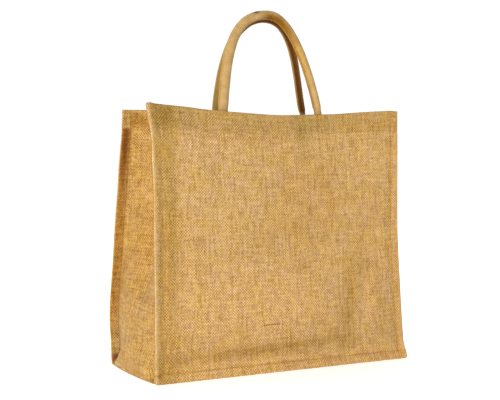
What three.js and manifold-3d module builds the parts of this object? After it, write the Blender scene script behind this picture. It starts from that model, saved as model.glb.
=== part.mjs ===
// A standing jute tote bag: two panels, one band that makes both sides and the base,
// and two stuffed cotton handles.
// Millimetres, +Z up. The front faces -Y, and the origin is on the floor under the middle of the bag.
import * as THREE from "three";
import { mergeVertices } from "three/addons/utils/BufferGeometryUtils.js";
import Module from "manifold-3d";

// The bag as sewn, before it leans
const BAG_WIDTH = 422;
const BAG_DEPTH = 165;
const BAG_HEIGHT = 380;
const FLANGE = 13;
const HEM = 33;
const GUSSET_HEM = 27;
const BAND_SHORT = 1;

// How far the leaning bag is set over to stand with the middle of its box over the origin
const LEAN_OFFSET_X = 3.2;
const LEAN_OFFSET_Y = -1.6;

// Cloth
const JUTE = 1.8;
const TURNED_EDGE = 3;
const BAND_EDGE = 2.4;
const PIECE_GAP = 0.4;
const HEM_GAP = 0.4;
const HEM_OVERLAP = 0.9;

// Corners of the flange and of the stitch line inside it
const LEFT_CORNER_RADIUS = 3;
const RIGHT_CORNER_RADIUS = 6;
const SEAM_RADIUS = 5;

// Soft shape of the cloth between the seams
const PANEL_SWELL = 2.5;
const SWELL_START = 2;
const SWELL_WIDTH = 9;
const FLANGE_CURL = 2;
const FOOT_LOW = 30;
const FOOT_TOP = 120;
const FOOT_RIDGE_FROM = 45;
const BASE_SHOULDER = 0.02;
const FOOT_BULGE = 4.5;
const LEAST_CREASE = 3;
const CREASE_SOFTNESS = 0.08;
const SIDE_BOW = 5;
const BOW_FADE = 60;
const MOUTH_SAG = 3;

// How far each side edge of a panel has moved from upright, by height. Lean is towards
// the middle of the bag's depth, and inward is towards the middle of its width.
const FRONT_LEFT_EDGE = [
  { height: 0, lean: 0, inward: 0 },
  { height: 185, lean: 2.7, inward: 0 },
  { height: 262, lean: 4.7, inward: 0 },
  { height: 303, lean: 7.5, inward: -0.7 },
  { height: 330, lean: 9, inward: -0.9 },
  { height: 355, lean: 11.5, inward: -3.1 },
  { height: 380, lean: 13.4, inward: -6.9 },
];
const FRONT_RIGHT_EDGE = [
  { height: 0, lean: 0, inward: 0 },
  { height: 10, lean: 0.5, inward: 2.8 },
  { height: 25, lean: 2.2, inward: 6.6 },
  { height: 45, lean: 4.5, inward: 7.2 },
  { height: 105, lean: 10.5, inward: 7.4 },
  { height: 200, lean: 18, inward: 7.8 },
  { height: 300, lean: 19.5, inward: 7.6 },
  { height: 380, lean: 20, inward: 7.6 },
];
const BACK_LEFT_EDGE = [
  { height: 0, lean: 0, inward: 0 },
  { height: 37, lean: -0.8, inward: -0.8 },
  { height: 73, lean: -2.6, inward: -1.9 },
  { height: 119, lean: 0.2, inward: -0.5 },
  { height: 150, lean: 3.7, inward: 0.8 },
  { height: 207, lean: 11.3, inward: 1.6 },
  { height: 260, lean: 21.8, inward: 2.2 },
  { height: 300, lean: 27, inward: 2.7 },
  { height: 340, lean: 35, inward: 3.3 },
  { height: 380, lean: 39, inward: 3.5 },
];
const BACK_RIGHT_EDGE = [
  { height: 0, lean: 0, inward: 0 },
  { height: 25, lean: 0.3, inward: 3.2 },
  { height: 105, lean: 3, inward: 5.2 },
  { height: 200, lean: 13, inward: 7.2 },
  { height: 300, lean: 25, inward: 8.2 },
  { height: 380, lean: 32, inward: 8.5 },
];

// How far the rim hangs below the bag's height, across each panel
const FRONT_RIM = [
  { across: -211, drop: -1.6 },
  { across: -205, drop: -2.6 },
  { across: -197, drop: -1.1 },
  { across: -180, drop: 0.1 },
  { across: -150, drop: 1.9 },
  { across: -118, drop: 4.7 },
  { across: -60, drop: 7.6 },
  { across: 0, drop: 9.7 },
  { across: 45, drop: 8.3 },
  { across: 100, drop: 6.1 },
  { across: 140, drop: 2.9 },
  { across: 180, drop: 0.1 },
  { across: 202, drop: -0.9 },
  { across: 211, drop: -0.2 },
];
const BACK_RIM = [
  { across: -211, drop: 2.2 },
  { across: -170, drop: 2.8 },
  { across: -118, drop: 6 },
  { across: -60, drop: 8.4 },
  { across: 0, drop: 9 },
  { across: 60, drop: 8.4 },
  { across: 118, drop: 6.5 },
  { across: 170, drop: 4 },
  { across: 211, drop: 3 },
];

// A panel leans further in its middle than at its sides, most at the mouth.
const PANELS = {
  front: {
    name: "front_panel",
    toBack: 1,
    left: FRONT_LEFT_EDGE,
    right: FRONT_RIGHT_EDGE,
    rim: FRONT_RIM,
    middleLean: 7.5,
  },
  back: {
    name: "back_panel",
    toBack: -1,
    left: BACK_LEFT_EDGE,
    right: BACK_RIGHT_EDGE,
    rim: BACK_RIM,
    middleLean: 40,
  },
};
const LEAN_GROWTH = 2.2;
const RIM_FADE = 3;

// Each handle as an arch: its feet across the flat panel, its crown as it stands, and how far its line
// runs on at the feet (rise and drift) and sideways at the crown (reach) before it bends. Each leg has the
// width it is pressed to.
const HANDLES = [
  {
    name: "handle_front", panel: PANELS.front, crown: { x: -8.4, y: -34.3, z: 517.3 },
    left: { foot: -88, rise: 67.4, drift: 9.9, reach: -68.3, width: 15.3 },
    right: { foot: 73.8, rise: 69.9, drift: -12.8, reach: 36.9, width: 12 },
  },
  {
    name: "handle_back", panel: PANELS.back, crown: { x: -6.4, y: -19.7, z: 514.8 },
    left: { foot: -75.3, rise: 114.3, drift: 5.9, reach: -35.2, width: 12.4 },
    right: { foot: 82.4, rise: 45.1, drift: -20.2, reach: 56.3, width: 9.8 },
  },
];
const HANDLE_DEPTH = 13.6;
const CROWN_THICKNESS = 13.1;
const ROUND_FROM = 0.35;
const TAB_WIDTH = 22;
const TAB_THICKNESS = 3.4;
const TAB_LENGTH = 28;
const SWELL_LENGTH = 14;
const FOOT_SHARE_OF_LEAN = 0.35;
const DEPTH_AXIS = new THREE.Vector3(0, 1, 0);

// Fineness of the cloth
const PANEL_COLUMNS = 18;
const PANEL_ROWS = 13;
const SIDE_FOOT_ROWS = [26, 36];
const LOW_ROW = 48;
const MOUTH_ROW = 364;
const CORNER_STEPS = 4;
const HANDLE_SIDES = 12;
const TAB_STEPS = 3;
const ARCH_STEPS = 20;
const SAME_POINT = 1e-4;

// Places across the band's field, as shares of the way from the front seam to the back seam
const ACROSS_FIELD = [0.04, 0.09, 0.17, 0.3, 0.41, 0.5, 0.59, 0.7, 0.83, 0.91, 0.96];

const SEAM_X = BAG_WIDTH / 2 - FLANGE;
const BAND_MOUTH = BAG_HEIGHT - BAND_SHORT;
const BAND_HALF_SPAN = BAG_DEPTH / 2 - TURNED_EDGE - PIECE_GAP - BAND_EDGE / 2;

const wasm = await Module();
wasm.setup();

// Materials
function cloth(color, roughness) {
  return new THREE.MeshStandardMaterial({ color, roughness, metalness: 0 });
}
const jute = cloth(0xc99b5c, 0.95);
const juteBand = cloth(0xc4934f, 0.95);
const cotton = cloth(0xc9a468, 0.9);

// Numbers
const mix = THREE.MathUtils.lerp;
const smooth = THREE.MathUtils.smoothstep;

// Evenly spaced numbers from first to last, both included.
function evenly(first, last, steps) {
  return Array.from({ length: steps + 1 }, (_, i) => mix(first, last, i / steps));
}

// A column of a table at a place along its first column, on a smooth curve through the rows.
function along(table, column, place) {
  const first = Object.keys(table[0])[0];
  const h = THREE.MathUtils.clamp(place, table[0][first], table.at(-1)[first]);
  const i = Math.max(table.findIndex((row) => row[first] >= h), 1);
  const slope = (k) => {
    const a = table[Math.max(k - 1, 0)];
    const b = table[Math.min(k + 1, table.length - 1)];
    return (b[column] - a[column]) / (b[first] - a[first]);
  };
  const low = table[i - 1];
  const high = table[i];
  const span = high[first] - low[first];
  const t = (h - low[first]) / span;
  const bend = t * (1 - t) * span;
  return (
    mix(low[column], high[column], smooth(t, 0, 1)) +
    bend * ((1 - t) * slope(i - 1) - t * slope(i))
  );
}

// The outer face of a panel as the bag stands, at x and z of the flat panel.
function panelFace(panel, x, z) {
  const across = (x + BAG_WIDTH / 2) / BAG_WIDTH;
  const high = Math.max(z, 0) / BAG_HEIGHT;
  const toSeam = Math.min(SEAM_X - Math.abs(x), z - FLANGE);
  const middle = Math.max(0, 1 - (x / SEAM_X) ** 2);
  const lean =
    mix(along(panel.left, "lean", z), along(panel.right, "lean", z), across) +
    panel.middleLean * middle * high ** LEAN_GROWTH;
  const fromSwell = Math.max(0, toSeam - SWELL_START);
  const onFlange = THREE.MathUtils.clamp(-toSeam / FLANGE, 0, 1);
  const outward =
    PANEL_SWELL * (1 - Math.exp(-fromSwell / SWELL_WIDTH)) * (1 - high ** 4) + FLANGE_CURL * onFlange;
  const drop = along(panel.rim, "drop", x) * high ** RIM_FADE;
  const inward = mix(along(panel.left, "inward", z), -along(panel.right, "inward", z), across);
  return {
    x: x + inward,
    y: panel.toBack * (lean - outward - BAG_DEPTH / 2),
    z: z - drop,
  };
}

// The flange's outer corner is round: the square of the corner is drawn in to a quarter circle.
function roundCorner(x, z) {
  const radius = cornerRadius(x);
  const p = (Math.abs(x) - BAG_WIDTH / 2 + radius) / radius;
  const q = (radius - z) / radius;
  if (p <= 0 || q <= 0) return { x, z };
  return {
    x: Math.sign(x) * (BAG_WIDTH / 2 - radius + radius * p * Math.sqrt(1 - (q * q) / 2)),
    z: radius - radius * q * Math.sqrt(1 - (p * p) / 2),
  };
}

function cornerRadius(x) {
  return x < 0 ? LEFT_CORNER_RADIUS : RIGHT_CORNER_RADIUS;
}

// A closed block of cells, one cell thick, with each corner of each cell moved to where place() says.
function sheet(columns, rows, place) {
  const block = new THREE.BoxGeometry(1, 1, 1, columns, 1, rows);
  const at = block.getAttribute("position");
  for (let i = 0; i < at.count; i += 1) {
    const column = Math.round((at.getX(i) + 0.5) * columns);
    const row = Math.round((at.getZ(i) + 0.5) * rows);
    const layer = Math.round(at.getY(i) + 0.5);
    const p = place(column, row, layer);
    at.setXYZ(i, p.x, p.y, p.z);
  }
  block.deleteAttribute("normal");
  block.deleteAttribute("uv");
  matchDiagonals(block.getIndex(), columns, rows);
  return block;
}

// Divides the cells of a block's lower face along the same diagonals as those of its upper face,
// so that a thin twisted cell doesn't cut through itself.
function matchDiagonals(index, columns, rows) {
  const cornersOfCell = 6;
  const firstCell = 2 * rows + columns * rows;
  for (let cell = firstCell; cell < firstCell + columns * rows; cell += 1) {
    const at = cell * cornersOfCell;
    const [a, b, d, , c] = [0, 1, 2, 3, 4].map((k) => index.getX(at + k));
    [a, b, c, a, c, d].forEach((corner, k) => index.setX(at + k, corner));
  }
}

// Sheets that are one cloth, joined.
function joined(sheets) {
  const solids = sheets.map((sheetPart) => {
    const merged = mergeVertices(sheetPart, SAME_POINT);
    const mesh = new wasm.Mesh({
      numProp: 3,
      vertProperties: new Float32Array(merged.attributes.position.array),
      triVerts: new Uint32Array(merged.index.array),
    });
    const solid = new wasm.Manifold(mesh);
    if (solid.volume() <= 0) throw new Error("a sheet is inside out");
    return solid;
  });
  const whole = solids.reduce((all, solid) => all.add(solid));
  const result = whole.getMesh();
  const geometry = new THREE.BufferGeometry();
  geometry.setAttribute("position", new THREE.BufferAttribute(result.vertProperties, 3));
  geometry.setIndex(new THREE.BufferAttribute(result.triVerts, 1));
  return geometry;
}

function piece(name, geometry, material) {
  const mesh = new THREE.Mesh(geometry, material);
  mesh.name = name;
  return mesh;
}

// Where the cloth is divided, across a panel and up it
const acrossPanel = [
  -BAG_WIDTH / 2,
  -BAG_WIDTH / 2 + LEFT_CORNER_RADIUS / 2,
  -BAG_WIDTH / 2 + LEFT_CORNER_RADIUS,
  ...evenly(-SEAM_X, SEAM_X, PANEL_COLUMNS),
  BAG_WIDTH / 2 - RIGHT_CORNER_RADIUS,
  BAG_WIDTH / 2 - RIGHT_CORNER_RADIUS / 2,
  BAG_WIDTH / 2,
];
const upSeams = [
  FLANGE + SEAM_RADIUS,
  ...SIDE_FOOT_ROWS,
  ...evenly(LOW_ROW, BAG_HEIGHT - HEM, PANEL_ROWS),
  BAND_MOUTH - GUSSET_HEM,
  MOUTH_ROW,
];
const upPanel = [
  0,
  LEFT_CORNER_RADIUS / 2,
  LEFT_CORNER_RADIUS,
  RIGHT_CORNER_RADIUS,
  FLANGE,
  ...upSeams,
  BAG_HEIGHT - JUTE,
  BAG_HEIGHT,
];
const upHem = upPanel.filter((z) => z >= BAG_HEIGHT - HEM);

// The panel's cloth between two depths, measured from its outer face towards the inside of the bag.
function panelLayer(panel, xs, zs, outerDepth, innerDepth) {
  return sheet(xs.length - 1, zs.length - 1, (column, row, layer) => {
    const flat = roundCorner(xs[column], zs[row]);
    const face = panelFace(panel, flat.x, flat.z);
    // Layer 0 has the lower y, which is the outer face in front and the inner face at the back.
    const isInner = panel.toBack > 0 ? layer === 1 : layer === 0;
    const depth = isInner ? innerDepth(xs[column], zs[row]) : outerDepth;
    return { x: face.x, y: face.y + panel.toBack * depth, z: face.z };
  });
}

function buildPanel(panel) {
  const inMargin = (x, z) =>
    Math.abs(x) > SEAM_X - SAME_POINT || z < FLANGE + SEAM_RADIUS + SAME_POINT;
  const main = panelLayer(panel, acrossPanel, upPanel, 0, (x, z) => (inMargin(x, z) ? TURNED_EDGE : JUTE));
  const hemX = acrossPanel.filter((x) => Math.abs(x) < SEAM_X - FLANGE);
  const hemOuter = JUTE + HEM_GAP;
  const hemInner = hemOuter + JUTE;
  const flap = panelLayer(panel, hemX, upHem, hemOuter, () => hemInner);
  const fold = panelLayer(
    panel, hemX, [BAG_HEIGHT - JUTE, BAG_HEIGHT], JUTE - HEM_OVERLAP, () => hemOuter + HEM_OVERLAP,
  );
  return piece(panel.name, joined([main, flap, fold]), jute);
}

// The stitch line of the band from its mouth down one side and round the corner: each step has a point on it,
// the direction in which the flange stands out, and the flange's width there. The side is -1 or 1.
function sideSteps(side) {
  const heights = [BAND_MOUTH, BAND_MOUTH - JUTE, ...upSeams.slice(1).reverse()];
  const upright = heights.map((z) => ({ x: side * SEAM_X, z, outX: side, outZ: 0, reach: FLANGE }));
  const centre = { x: side * (SEAM_X - SEAM_RADIUS), z: FLANGE + SEAM_RADIUS };
  const corner = evenly(0, Math.PI / 2, CORNER_STEPS).map((turn) => {
    const outX = side * Math.cos(turn);
    const outZ = -Math.sin(turn);
    return {
      x: centre.x + SEAM_RADIUS * outX,
      z: centre.z + SEAM_RADIUS * outZ,
      outX,
      outZ,
      reach: flangeReach(side, centre, outX, outZ) - SEAM_RADIUS,
    };
  });
  return [...upright, ...corner];
}

function bandSteps() {
  const base = acrossPanel
    .filter((x) => Math.abs(x) < SEAM_X - SEAM_RADIUS)
    .map((x) => ({ x, z: FLANGE, outX: 0, outZ: -1, reach: FLANGE }));
  return [...sideSteps(-1), ...base, ...sideSteps(1).reverse()];
}

// The distance from a point near a corner to the flange's outer edge, in a direction down and out.
function flangeReach(side, from, outX, outZ) {
  const radius = cornerRadius(side);
  const centre = { x: side * (BAG_WIDTH / 2 - radius), z: radius };
  const toSide = (BAG_WIDTH / 2 - side * from.x) / Math.max(side * outX, 1e-9);
  if (from.z + toSide * outZ >= radius) return toSide;
  const toFloor = -from.z / outZ;
  if (side * (from.x + toFloor * outX) <= side * centre.x) return toFloor;
  const dx = from.x - centre.x;
  const dz = from.z - centre.z;
  const b = dx * outX + dz * outZ;
  return -b + Math.sqrt(b * b - (dx * dx + dz * dz) + radius ** 2);
}

// The flat point of a step at a distance out from the stitch line
function outFrom(step, out) {
  return { x: step.x + step.outX * out, z: step.z + step.outZ * out };
}

// How far the band's field stands out from its stitch line at a share of the way across.
// The base lies on the floor, and its ends reach as far out as the flanges. Above them the sides stand out in
// a ridge down their middle. Higher up they fold inwards in a V, as deep as the leaning panels allow.
function fieldOut(step, share, span) {
  const half = 1 - Math.abs(2 * share - 1);
  const overFloor = outFrom(step, step.reach).z;
  const atFoot = 1 - smooth(overFloor, FOOT_LOW, FOOT_TOP);
  const shoulder = mix(2 * BASE_SHOULDER, 1, Math.min(overFloor / FOOT_RIDGE_FROM, 1));
  const slack = Math.max(0, BAND_HALF_SPAN ** 2 - (span / 2) ** 2);
  const crease = Math.hypot(LEAST_CREASE, Math.sqrt(slack)) * (1 - atFoot);
  const soft = Math.hypot(2 * share - 1, CREASE_SOFTNESS) - CREASE_SOFTNESS;
  const belowHem = smooth(BAG_HEIGHT - GUSSET_HEM - step.z, 0, BOW_FADE);
  const bow = SIDE_BOW * Math.sin(Math.PI * half) * belowHem * (1 - atFoot);
  const ridge = (step.reach - JUTE / 2) * smooth(half, 0, shoulder) * atFoot;
  return ridge - crease * (1 - soft) + bow;
}

// The middle line of the band's section at a step, from the front flange's edge to the back one's,
// as distances out from the stitch line and depths.
function bandSection(step) {
  const edgeDepth = TURNED_EDGE + PIECE_GAP + BAND_EDGE / 2;
  const depthAt = (panel, out) => {
    const flat = outFrom(step, out);
    return panelFace(panel, flat.x, flat.z).y + panel.toBack * edgeDepth;
  };
  const flangeOuts = [step.reach, step.reach / 2, 0];
  const line = flangeOuts.map((out) => ({ out, y: depthAt(PANELS.front, out), thick: BAND_EDGE }));
  const front = depthAt(PANELS.front, 0);
  const back = depthAt(PANELS.back, 0);
  for (const share of ACROSS_FIELD)
    line.push({ out: fieldOut(step, share, back - front), y: mix(front, back, share), thick: JUTE });
  const backFlange = flangeOuts.toReversed();
  for (const out of backFlange) line.push({ out, y: depthAt(PANELS.back, out), thick: BAND_EDGE });
  return line;
}

// A section moved sideways from its middle line, with square corners and its two ends cut straight.
// A positive shift goes to the outside of the bag.
function shifted(line, shiftOf) {
  const normalOf = (a, b) => {
    const length = Math.hypot(b.out - a.out, b.y - a.y);
    return { out: (b.y - a.y) / length, y: -(b.out - a.out) / length };
  };
  return line.map((point, i) => {
    if (i === 0) return { out: point.out, y: point.y + shiftOf(point) };
    if (i === line.length - 1) return { out: point.out, y: point.y - shiftOf(point) };
    const first = normalOf(line[i - 1], point);
    const second = normalOf(point, line[i + 1]);
    const scale = shiftOf(point) / (1 + first.out * second.out + first.y * second.y);
    return { out: point.out + (first.out + second.out) * scale, y: point.y + (first.y + second.y) * scale };
  });
}

// One layer of the band's cloth over some of its steps and some of its section.
function bandLayer(steps, from, to, outerShift, innerShift) {
  const sections = steps.map((step) => {
    const line = bandSection(step);
    return {
      step,
      outer: shifted(line, outerShift).slice(from, to),
      inner: shifted(line, innerShift).slice(from, to),
    };
  });
  return sheet(sections.length - 1, to - from - 1, (column, row, layer) => {
    const { step, outer, inner } = sections[column];
    const point = (layer === 1 ? outer : inner)[row];
    return bandPoint(step, point);
  });
}

// A point of a section where it lies on the standing bag, between the two panels' movements.
// The foot of each side bulges out, and the fold's cloth hangs a little lower at the mouth.
function bandPoint(step, point) {
  const flat = outFrom(step, point.out);
  const front = panelFace(PANELS.front, flat.x, flat.z);
  const back = panelFace(PANELS.back, flat.x, flat.z);
  const share = THREE.MathUtils.clamp((point.y - front.y) / (back.y - front.y), 0, 1);
  const atEnd = smooth(Math.abs(flat.x), SEAM_X - FLANGE, BAG_WIDTH / 2);
  const bulge = FOOT_BULGE * Math.sin(Math.PI * share) * (1 - smooth(flat.z, 0, FOOT_TOP)) * atEnd;
  const sag = MOUTH_SAG * (Math.max(0, -point.out) / BAND_HALF_SPAN) * (flat.z / BAG_HEIGHT) ** RIM_FADE;
  return {
    x: mix(front.x, back.x, share) + Math.sign(flat.x) * bulge,
    y: point.y,
    z: mix(front.z, back.z, share) - sag,
  };
}

function buildBand() {
  const steps = bandSteps();
  const sectionPoints = ACROSS_FIELD.length + 6;
  const main = bandLayer(steps, 0, sectionPoints, (p) => p.thick / 2, (p) => -p.thick / 2);
  const hemFrom = 4;
  const hemTo = sectionPoints - hemFrom;
  const hemOuter = -JUTE / 2 - HEM_GAP;
  const hemInner = hemOuter - JUTE;
  const hemSteps = 4;
  const hems = [steps.slice(0, hemSteps), steps.slice(-hemSteps)].map((ends) =>
    bandLayer(ends, hemFrom, hemTo, () => hemOuter, () => hemInner));
  const folds = [steps.slice(0, 2), steps.slice(-2)].map((ends) =>
    bandLayer(ends, hemFrom, hemTo, () => HEM_OVERLAP - JUTE / 2, () => hemOuter - HEM_OVERLAP));
  return piece("gusset_band", joined([main, ...hems, ...folds]), juteBand);
}

// A point inside the bag, at a distance from the face of a panel's hem
function onHem(panel, x, z, distance) {
  const face = panelFace(panel, x, z);
  const depth = 2 * JUTE + HEM_GAP + PIECE_GAP + distance;
  return new THREE.Vector3(face.x, face.y + panel.toBack * depth, face.z);
}

// The sections of a handle from the end of one tab up to the crown. Each gives a point of its outline
// from a share of its width, w, and of its thickness, t, both from -1 to 1.
function legSections(handle, leg) {
  const { panel, crown } = handle;
  const foot = onHem(panel, leg.foot, BAG_HEIGHT, TAB_THICKNESS / 2);
  const rise = new THREE.Vector3(
    foot.x + leg.drift, mix(foot.y, crown.y, FOOT_SHARE_OF_LEAN), foot.z + leg.rise,
  );
  const reach = new THREE.Vector3(crown.x + leg.reach, crown.y, crown.z);
  const arch = new THREE.CubicBezierCurve3(foot, rise, reach, new THREE.Vector3(crown.x, crown.y, crown.z));
  const rimSlope = panelFace(panel, leg.foot + 1, BAG_HEIGHT).y - panelFace(panel, leg.foot, BAG_HEIGHT).y;

  const tab = evenly(BAG_HEIGHT - TAB_LENGTH, BAG_HEIGHT, TAB_STEPS)
    .slice(0, -1)
    .map((z) => (w, t) =>
      onHem(panel, leg.foot + (w * TAB_WIDTH) / 2, z, (TAB_THICKNESS / 2) * (1 + panel.toBack * t)));
  const stuffed = evenly(0, 1, ARCH_STEPS).map((share) => {
    const centre = arch.getPointAt(share);
    const up = arch.getTangentAt(share);
    const wide = new THREE.Vector3().crossVectors(DEPTH_AXIS, up).normalize();
    const thick = new THREE.Vector3().crossVectors(up, wide);
    const round = smooth(arch.getLength() * share, 0, SWELL_LENGTH);
    const width = mix(leg.width, CROWN_THICKNESS, smooth(share, ROUND_FROM, 1));
    return (w, t) => {
      const pressed = centre.clone();
      pressed.x += (w * TAB_WIDTH) / 2;
      pressed.y += (w * TAB_WIDTH * rimSlope) / 2 + (t * TAB_THICKNESS) / 2;
      const full = centre
        .clone()
        .addScaledVector(wide, (w * width) / 2)
        .addScaledVector(thick, (t * HANDLE_DEPTH) / 2);
      return pressed.lerp(full, round);
    };
  });
  return [...tab, ...stuffed];
}

// A stuffed tube, round along its arch and pressed flat at both ends.
function buildHandle(handle) {
  const left = legSections(handle, handle.left);
  const right = legSections(handle, handle.right)
    .slice(0, -1)
    .reverse()
    .map((section) => (w, t) => section(-w, t));
  const sections = [...left, ...right];
  const tube = new THREE.CylinderGeometry(1, 1, 1, HANDLE_SIDES, sections.length - 1);
  const at = tube.getAttribute("position");
  for (let i = 0; i < at.count; i += 1) {
    const section = sections[Math.round((at.getY(i) + 0.5) * (sections.length - 1))];
    const point = section(at.getX(i), -at.getZ(i));
    at.setXYZ(i, point.x, point.y, point.z);
  }
  tube.deleteAttribute("normal");
  tube.deleteAttribute("uv");
  return piece(handle.name, joined([tube]), cotton);
}

// The bag's leans move the middle of its box a little, and it is set back over the origin.
const bag = new THREE.Group();
bag.position.set(LEAN_OFFSET_X, LEAN_OFFSET_Y, 0);
bag.add(buildPanel(PANELS.front), buildPanel(PANELS.back), buildBand());
for (const handle of HANDLES) bag.add(buildHandle(handle));

const group = new THREE.Group();
group.add(bag);

export default group;
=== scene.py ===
# %% [markdown]
# # A jute tote bag that stands open
# The bag is five sewn pieces: a front and a back panel, one long band that makes both sides and
# the base, and two handles of stuffed cotton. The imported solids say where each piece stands. Here
# every piece is made again as fine cloth over the same shape, with its seams, stitches and weave.

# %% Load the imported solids
import math

import bmesh
import bpy
from mathutils import Matrix, Vector, noise


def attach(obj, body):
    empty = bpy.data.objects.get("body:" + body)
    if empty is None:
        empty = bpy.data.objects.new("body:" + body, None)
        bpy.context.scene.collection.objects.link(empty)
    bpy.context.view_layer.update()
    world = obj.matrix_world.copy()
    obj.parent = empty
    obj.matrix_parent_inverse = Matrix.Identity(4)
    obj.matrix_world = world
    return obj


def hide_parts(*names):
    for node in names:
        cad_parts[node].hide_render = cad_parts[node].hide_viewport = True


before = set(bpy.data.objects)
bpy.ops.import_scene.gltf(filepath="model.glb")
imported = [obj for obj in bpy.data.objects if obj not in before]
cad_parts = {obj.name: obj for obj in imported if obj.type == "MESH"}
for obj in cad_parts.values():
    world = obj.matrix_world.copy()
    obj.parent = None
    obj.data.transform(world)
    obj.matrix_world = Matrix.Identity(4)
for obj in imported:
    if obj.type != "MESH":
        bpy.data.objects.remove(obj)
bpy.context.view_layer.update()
print("packed nodes:", sorted(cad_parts))

# %% [markdown]
# ## The camera
# The camera stands left of the bag's middle, a little below its rim, and looks slightly down. It
# could be set by eye, but a bag with straight seams shows every degree of error. So its place and
# lens were worked out from the corners of the bag in the picture.

# %% Camera
CAMERA_PLACE = (-0.7577, -1.3665, 0.3001)
CAMERA_AZIMUTH = -28.46
CAMERA_DOWN = 2.03
LENS_MM = 74.59
SENSOR_MM = 36

camera = bpy.data.objects.new("studio_camera", bpy.data.cameras.new("studio_camera"))
bpy.context.scene.collection.objects.link(camera)
camera.data.sensor_width = SENSOR_MM
camera.data.lens = LENS_MM
camera.location = CAMERA_PLACE
camera.rotation_euler = (math.radians(90 - CAMERA_DOWN), 0, math.radians(CAMERA_AZIMUTH))
bpy.context.scene.camera = camera
print("camera at", CAMERA_PLACE, "with a lens of", LENS_MM, "mm")

# %% [markdown]
# ## The bag's sizes
# All sizes are in millimetres here, and turn to metres when a point is placed. A standing bag is
# never square: its side edges lean and its rim sags. That could be pulled into shape by hand, but a
# short table for each edge says it in numbers that can be checked. A table gives how far the edge
# has moved at some places, and a smooth curve is followed between two rows.

# %% Sizes of the sewn bag
MM = 0.001
# The bag, the flange round each panel, and the hems at the mouth
BAG_WIDTH = 422
BAG_DEPTH = 165
BAG_HEIGHT = 380
FLANGE = 13
HEM = 33
GUSSET_HEM = 27
BAND_SHORT = 1
# The cloth's thickness, what it is where an edge is turned in, and the gaps between layers
JUTE = 1.8
TURNED_EDGE = 3
BAND_EDGE = 2.4
PIECE_GAP = 0.4
HEM_GAP = 0.4
# Lines on the flat cloth that more than one piece is made by
HEM_STITCH_UP = 3
HALF_WIDTH = BAG_WIDTH / 2
SEAM_X = HALF_WIDTH - FLANGE
HEM_LINE = BAG_HEIGHT - HEM + HEM_STITCH_UP
BAND_MOUTH = BAG_HEIGHT - BAND_SHORT
BAND_HALF_SPAN = BAG_DEPTH / 2 - TURNED_EDGE - PIECE_GAP - BAND_EDGE / 2
# The leaning bag is set over, so that the middle of its box stands over the origin
SET_OVER = Vector((3.2, -1.6, 0))
print("a bag", BAG_WIDTH, "wide,", BAG_DEPTH, "deep and", BAG_HEIGHT, "mm high to its rim")

# %% Tables of how the edges of the panels have moved


def table(columns, *rows):
    """Rows of numbers, each with the names of its columns."""
    names = columns.split()
    return [dict(zip(names, row)) for row in rows]


# place is how far up an edge, or how far along a rim. There lean is how far the cloth has moved
# into the bag's depth, inward how far towards its middle, and drop how far down, all in mm
FRONT_LEFT_EDGE = table(
    "place lean inward",
    (0, 0, 0), (185, 2.7, 0), (262, 4.7, 0), (303, 7.5, -0.7), (330, 9, -0.9),
    (355, 11.5, -3.1), (380, 13.4, -6.9),
)
FRONT_RIGHT_EDGE = table(
    "place lean inward",
    (0, 0, 0), (10, 0.5, 2.8), (25, 2.2, 6.6), (45, 4.5, 7.2), (105, 10.5, 7.4),
    (200, 18, 7.8), (300, 19.5, 7.6), (380, 20, 7.6),
)
BACK_LEFT_EDGE = table(
    "place lean inward",
    (0, 0, 0), (37, -0.8, -0.8), (73, -2.6, -1.9), (119, 0.2, -0.5), (150, 3.7, 0.8),
    (207, 11.3, 1.6), (260, 21.8, 2.2), (300, 27, 2.7), (340, 35, 3.3), (380, 39, 3.5),
)
BACK_RIGHT_EDGE = table(
    "place lean inward",
    (0, 0, 0), (25, 0.3, 3.2), (105, 3, 5.2), (200, 13, 7.2), (300, 25, 8.2), (380, 32, 8.5),
)
FRONT_RIM = table(
    "place drop",
    (-211, -1.6), (-205, -2.6), (-197, -1.1), (-180, 0.1), (-150, 1.9), (-118, 4.7),
    (-60, 7.6), (0, 9.7), (45, 8.3), (100, 6.1), (140, 2.9), (180, 0.1), (202, -0.9),
    (211, -0.2),
)
BACK_RIM = table(
    "place drop",
    (-211, 2.2), (-170, 2.8), (-118, 6), (-60, 8.4), (0, 9), (60, 8.4), (118, 6.5),
    (170, 4), (211, 3),
)
PANELS = {
    "front": {
        "number": 1, "to_back": 1, "middle_lean": 7.5,
        "left": FRONT_LEFT_EDGE, "right": FRONT_RIGHT_EDGE, "rim": FRONT_RIM,
    },
    "back": {
        "number": 2, "to_back": -1, "middle_lean": 40,
        "left": BACK_LEFT_EDGE, "right": BACK_RIGHT_EDGE, "rim": BACK_RIM,
    },
}
for side, panel in PANELS.items():
    print("the", side, "rim sags by", max(row["drop"] for row in panel["rim"]), "mm")

# %% Small helpers for numbers


def clamp(value, low=0.0, high=1.0):
    return max(low, min(high, value))


def mix(a, b, share):
    return a + (b - a) * share


def smooth(value, low, high):
    t = clamp((value - low) / (high - low))
    return t * t * (3 - 2 * t)


def evenly(first, last, steps):
    return [mix(first, last, i / steps) for i in range(steps + 1)]


def bell(value, width):
    return math.exp(-((value / width) ** 2))


KNOWN = {}


def along(rows, column, place):
    """A column of a table at a place, on a smooth curve through the rows."""
    key = (id(rows), column, place)
    if key not in KNOWN:
        KNOWN[key] = work_out(rows, column, place)
    return KNOWN[key]


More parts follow.
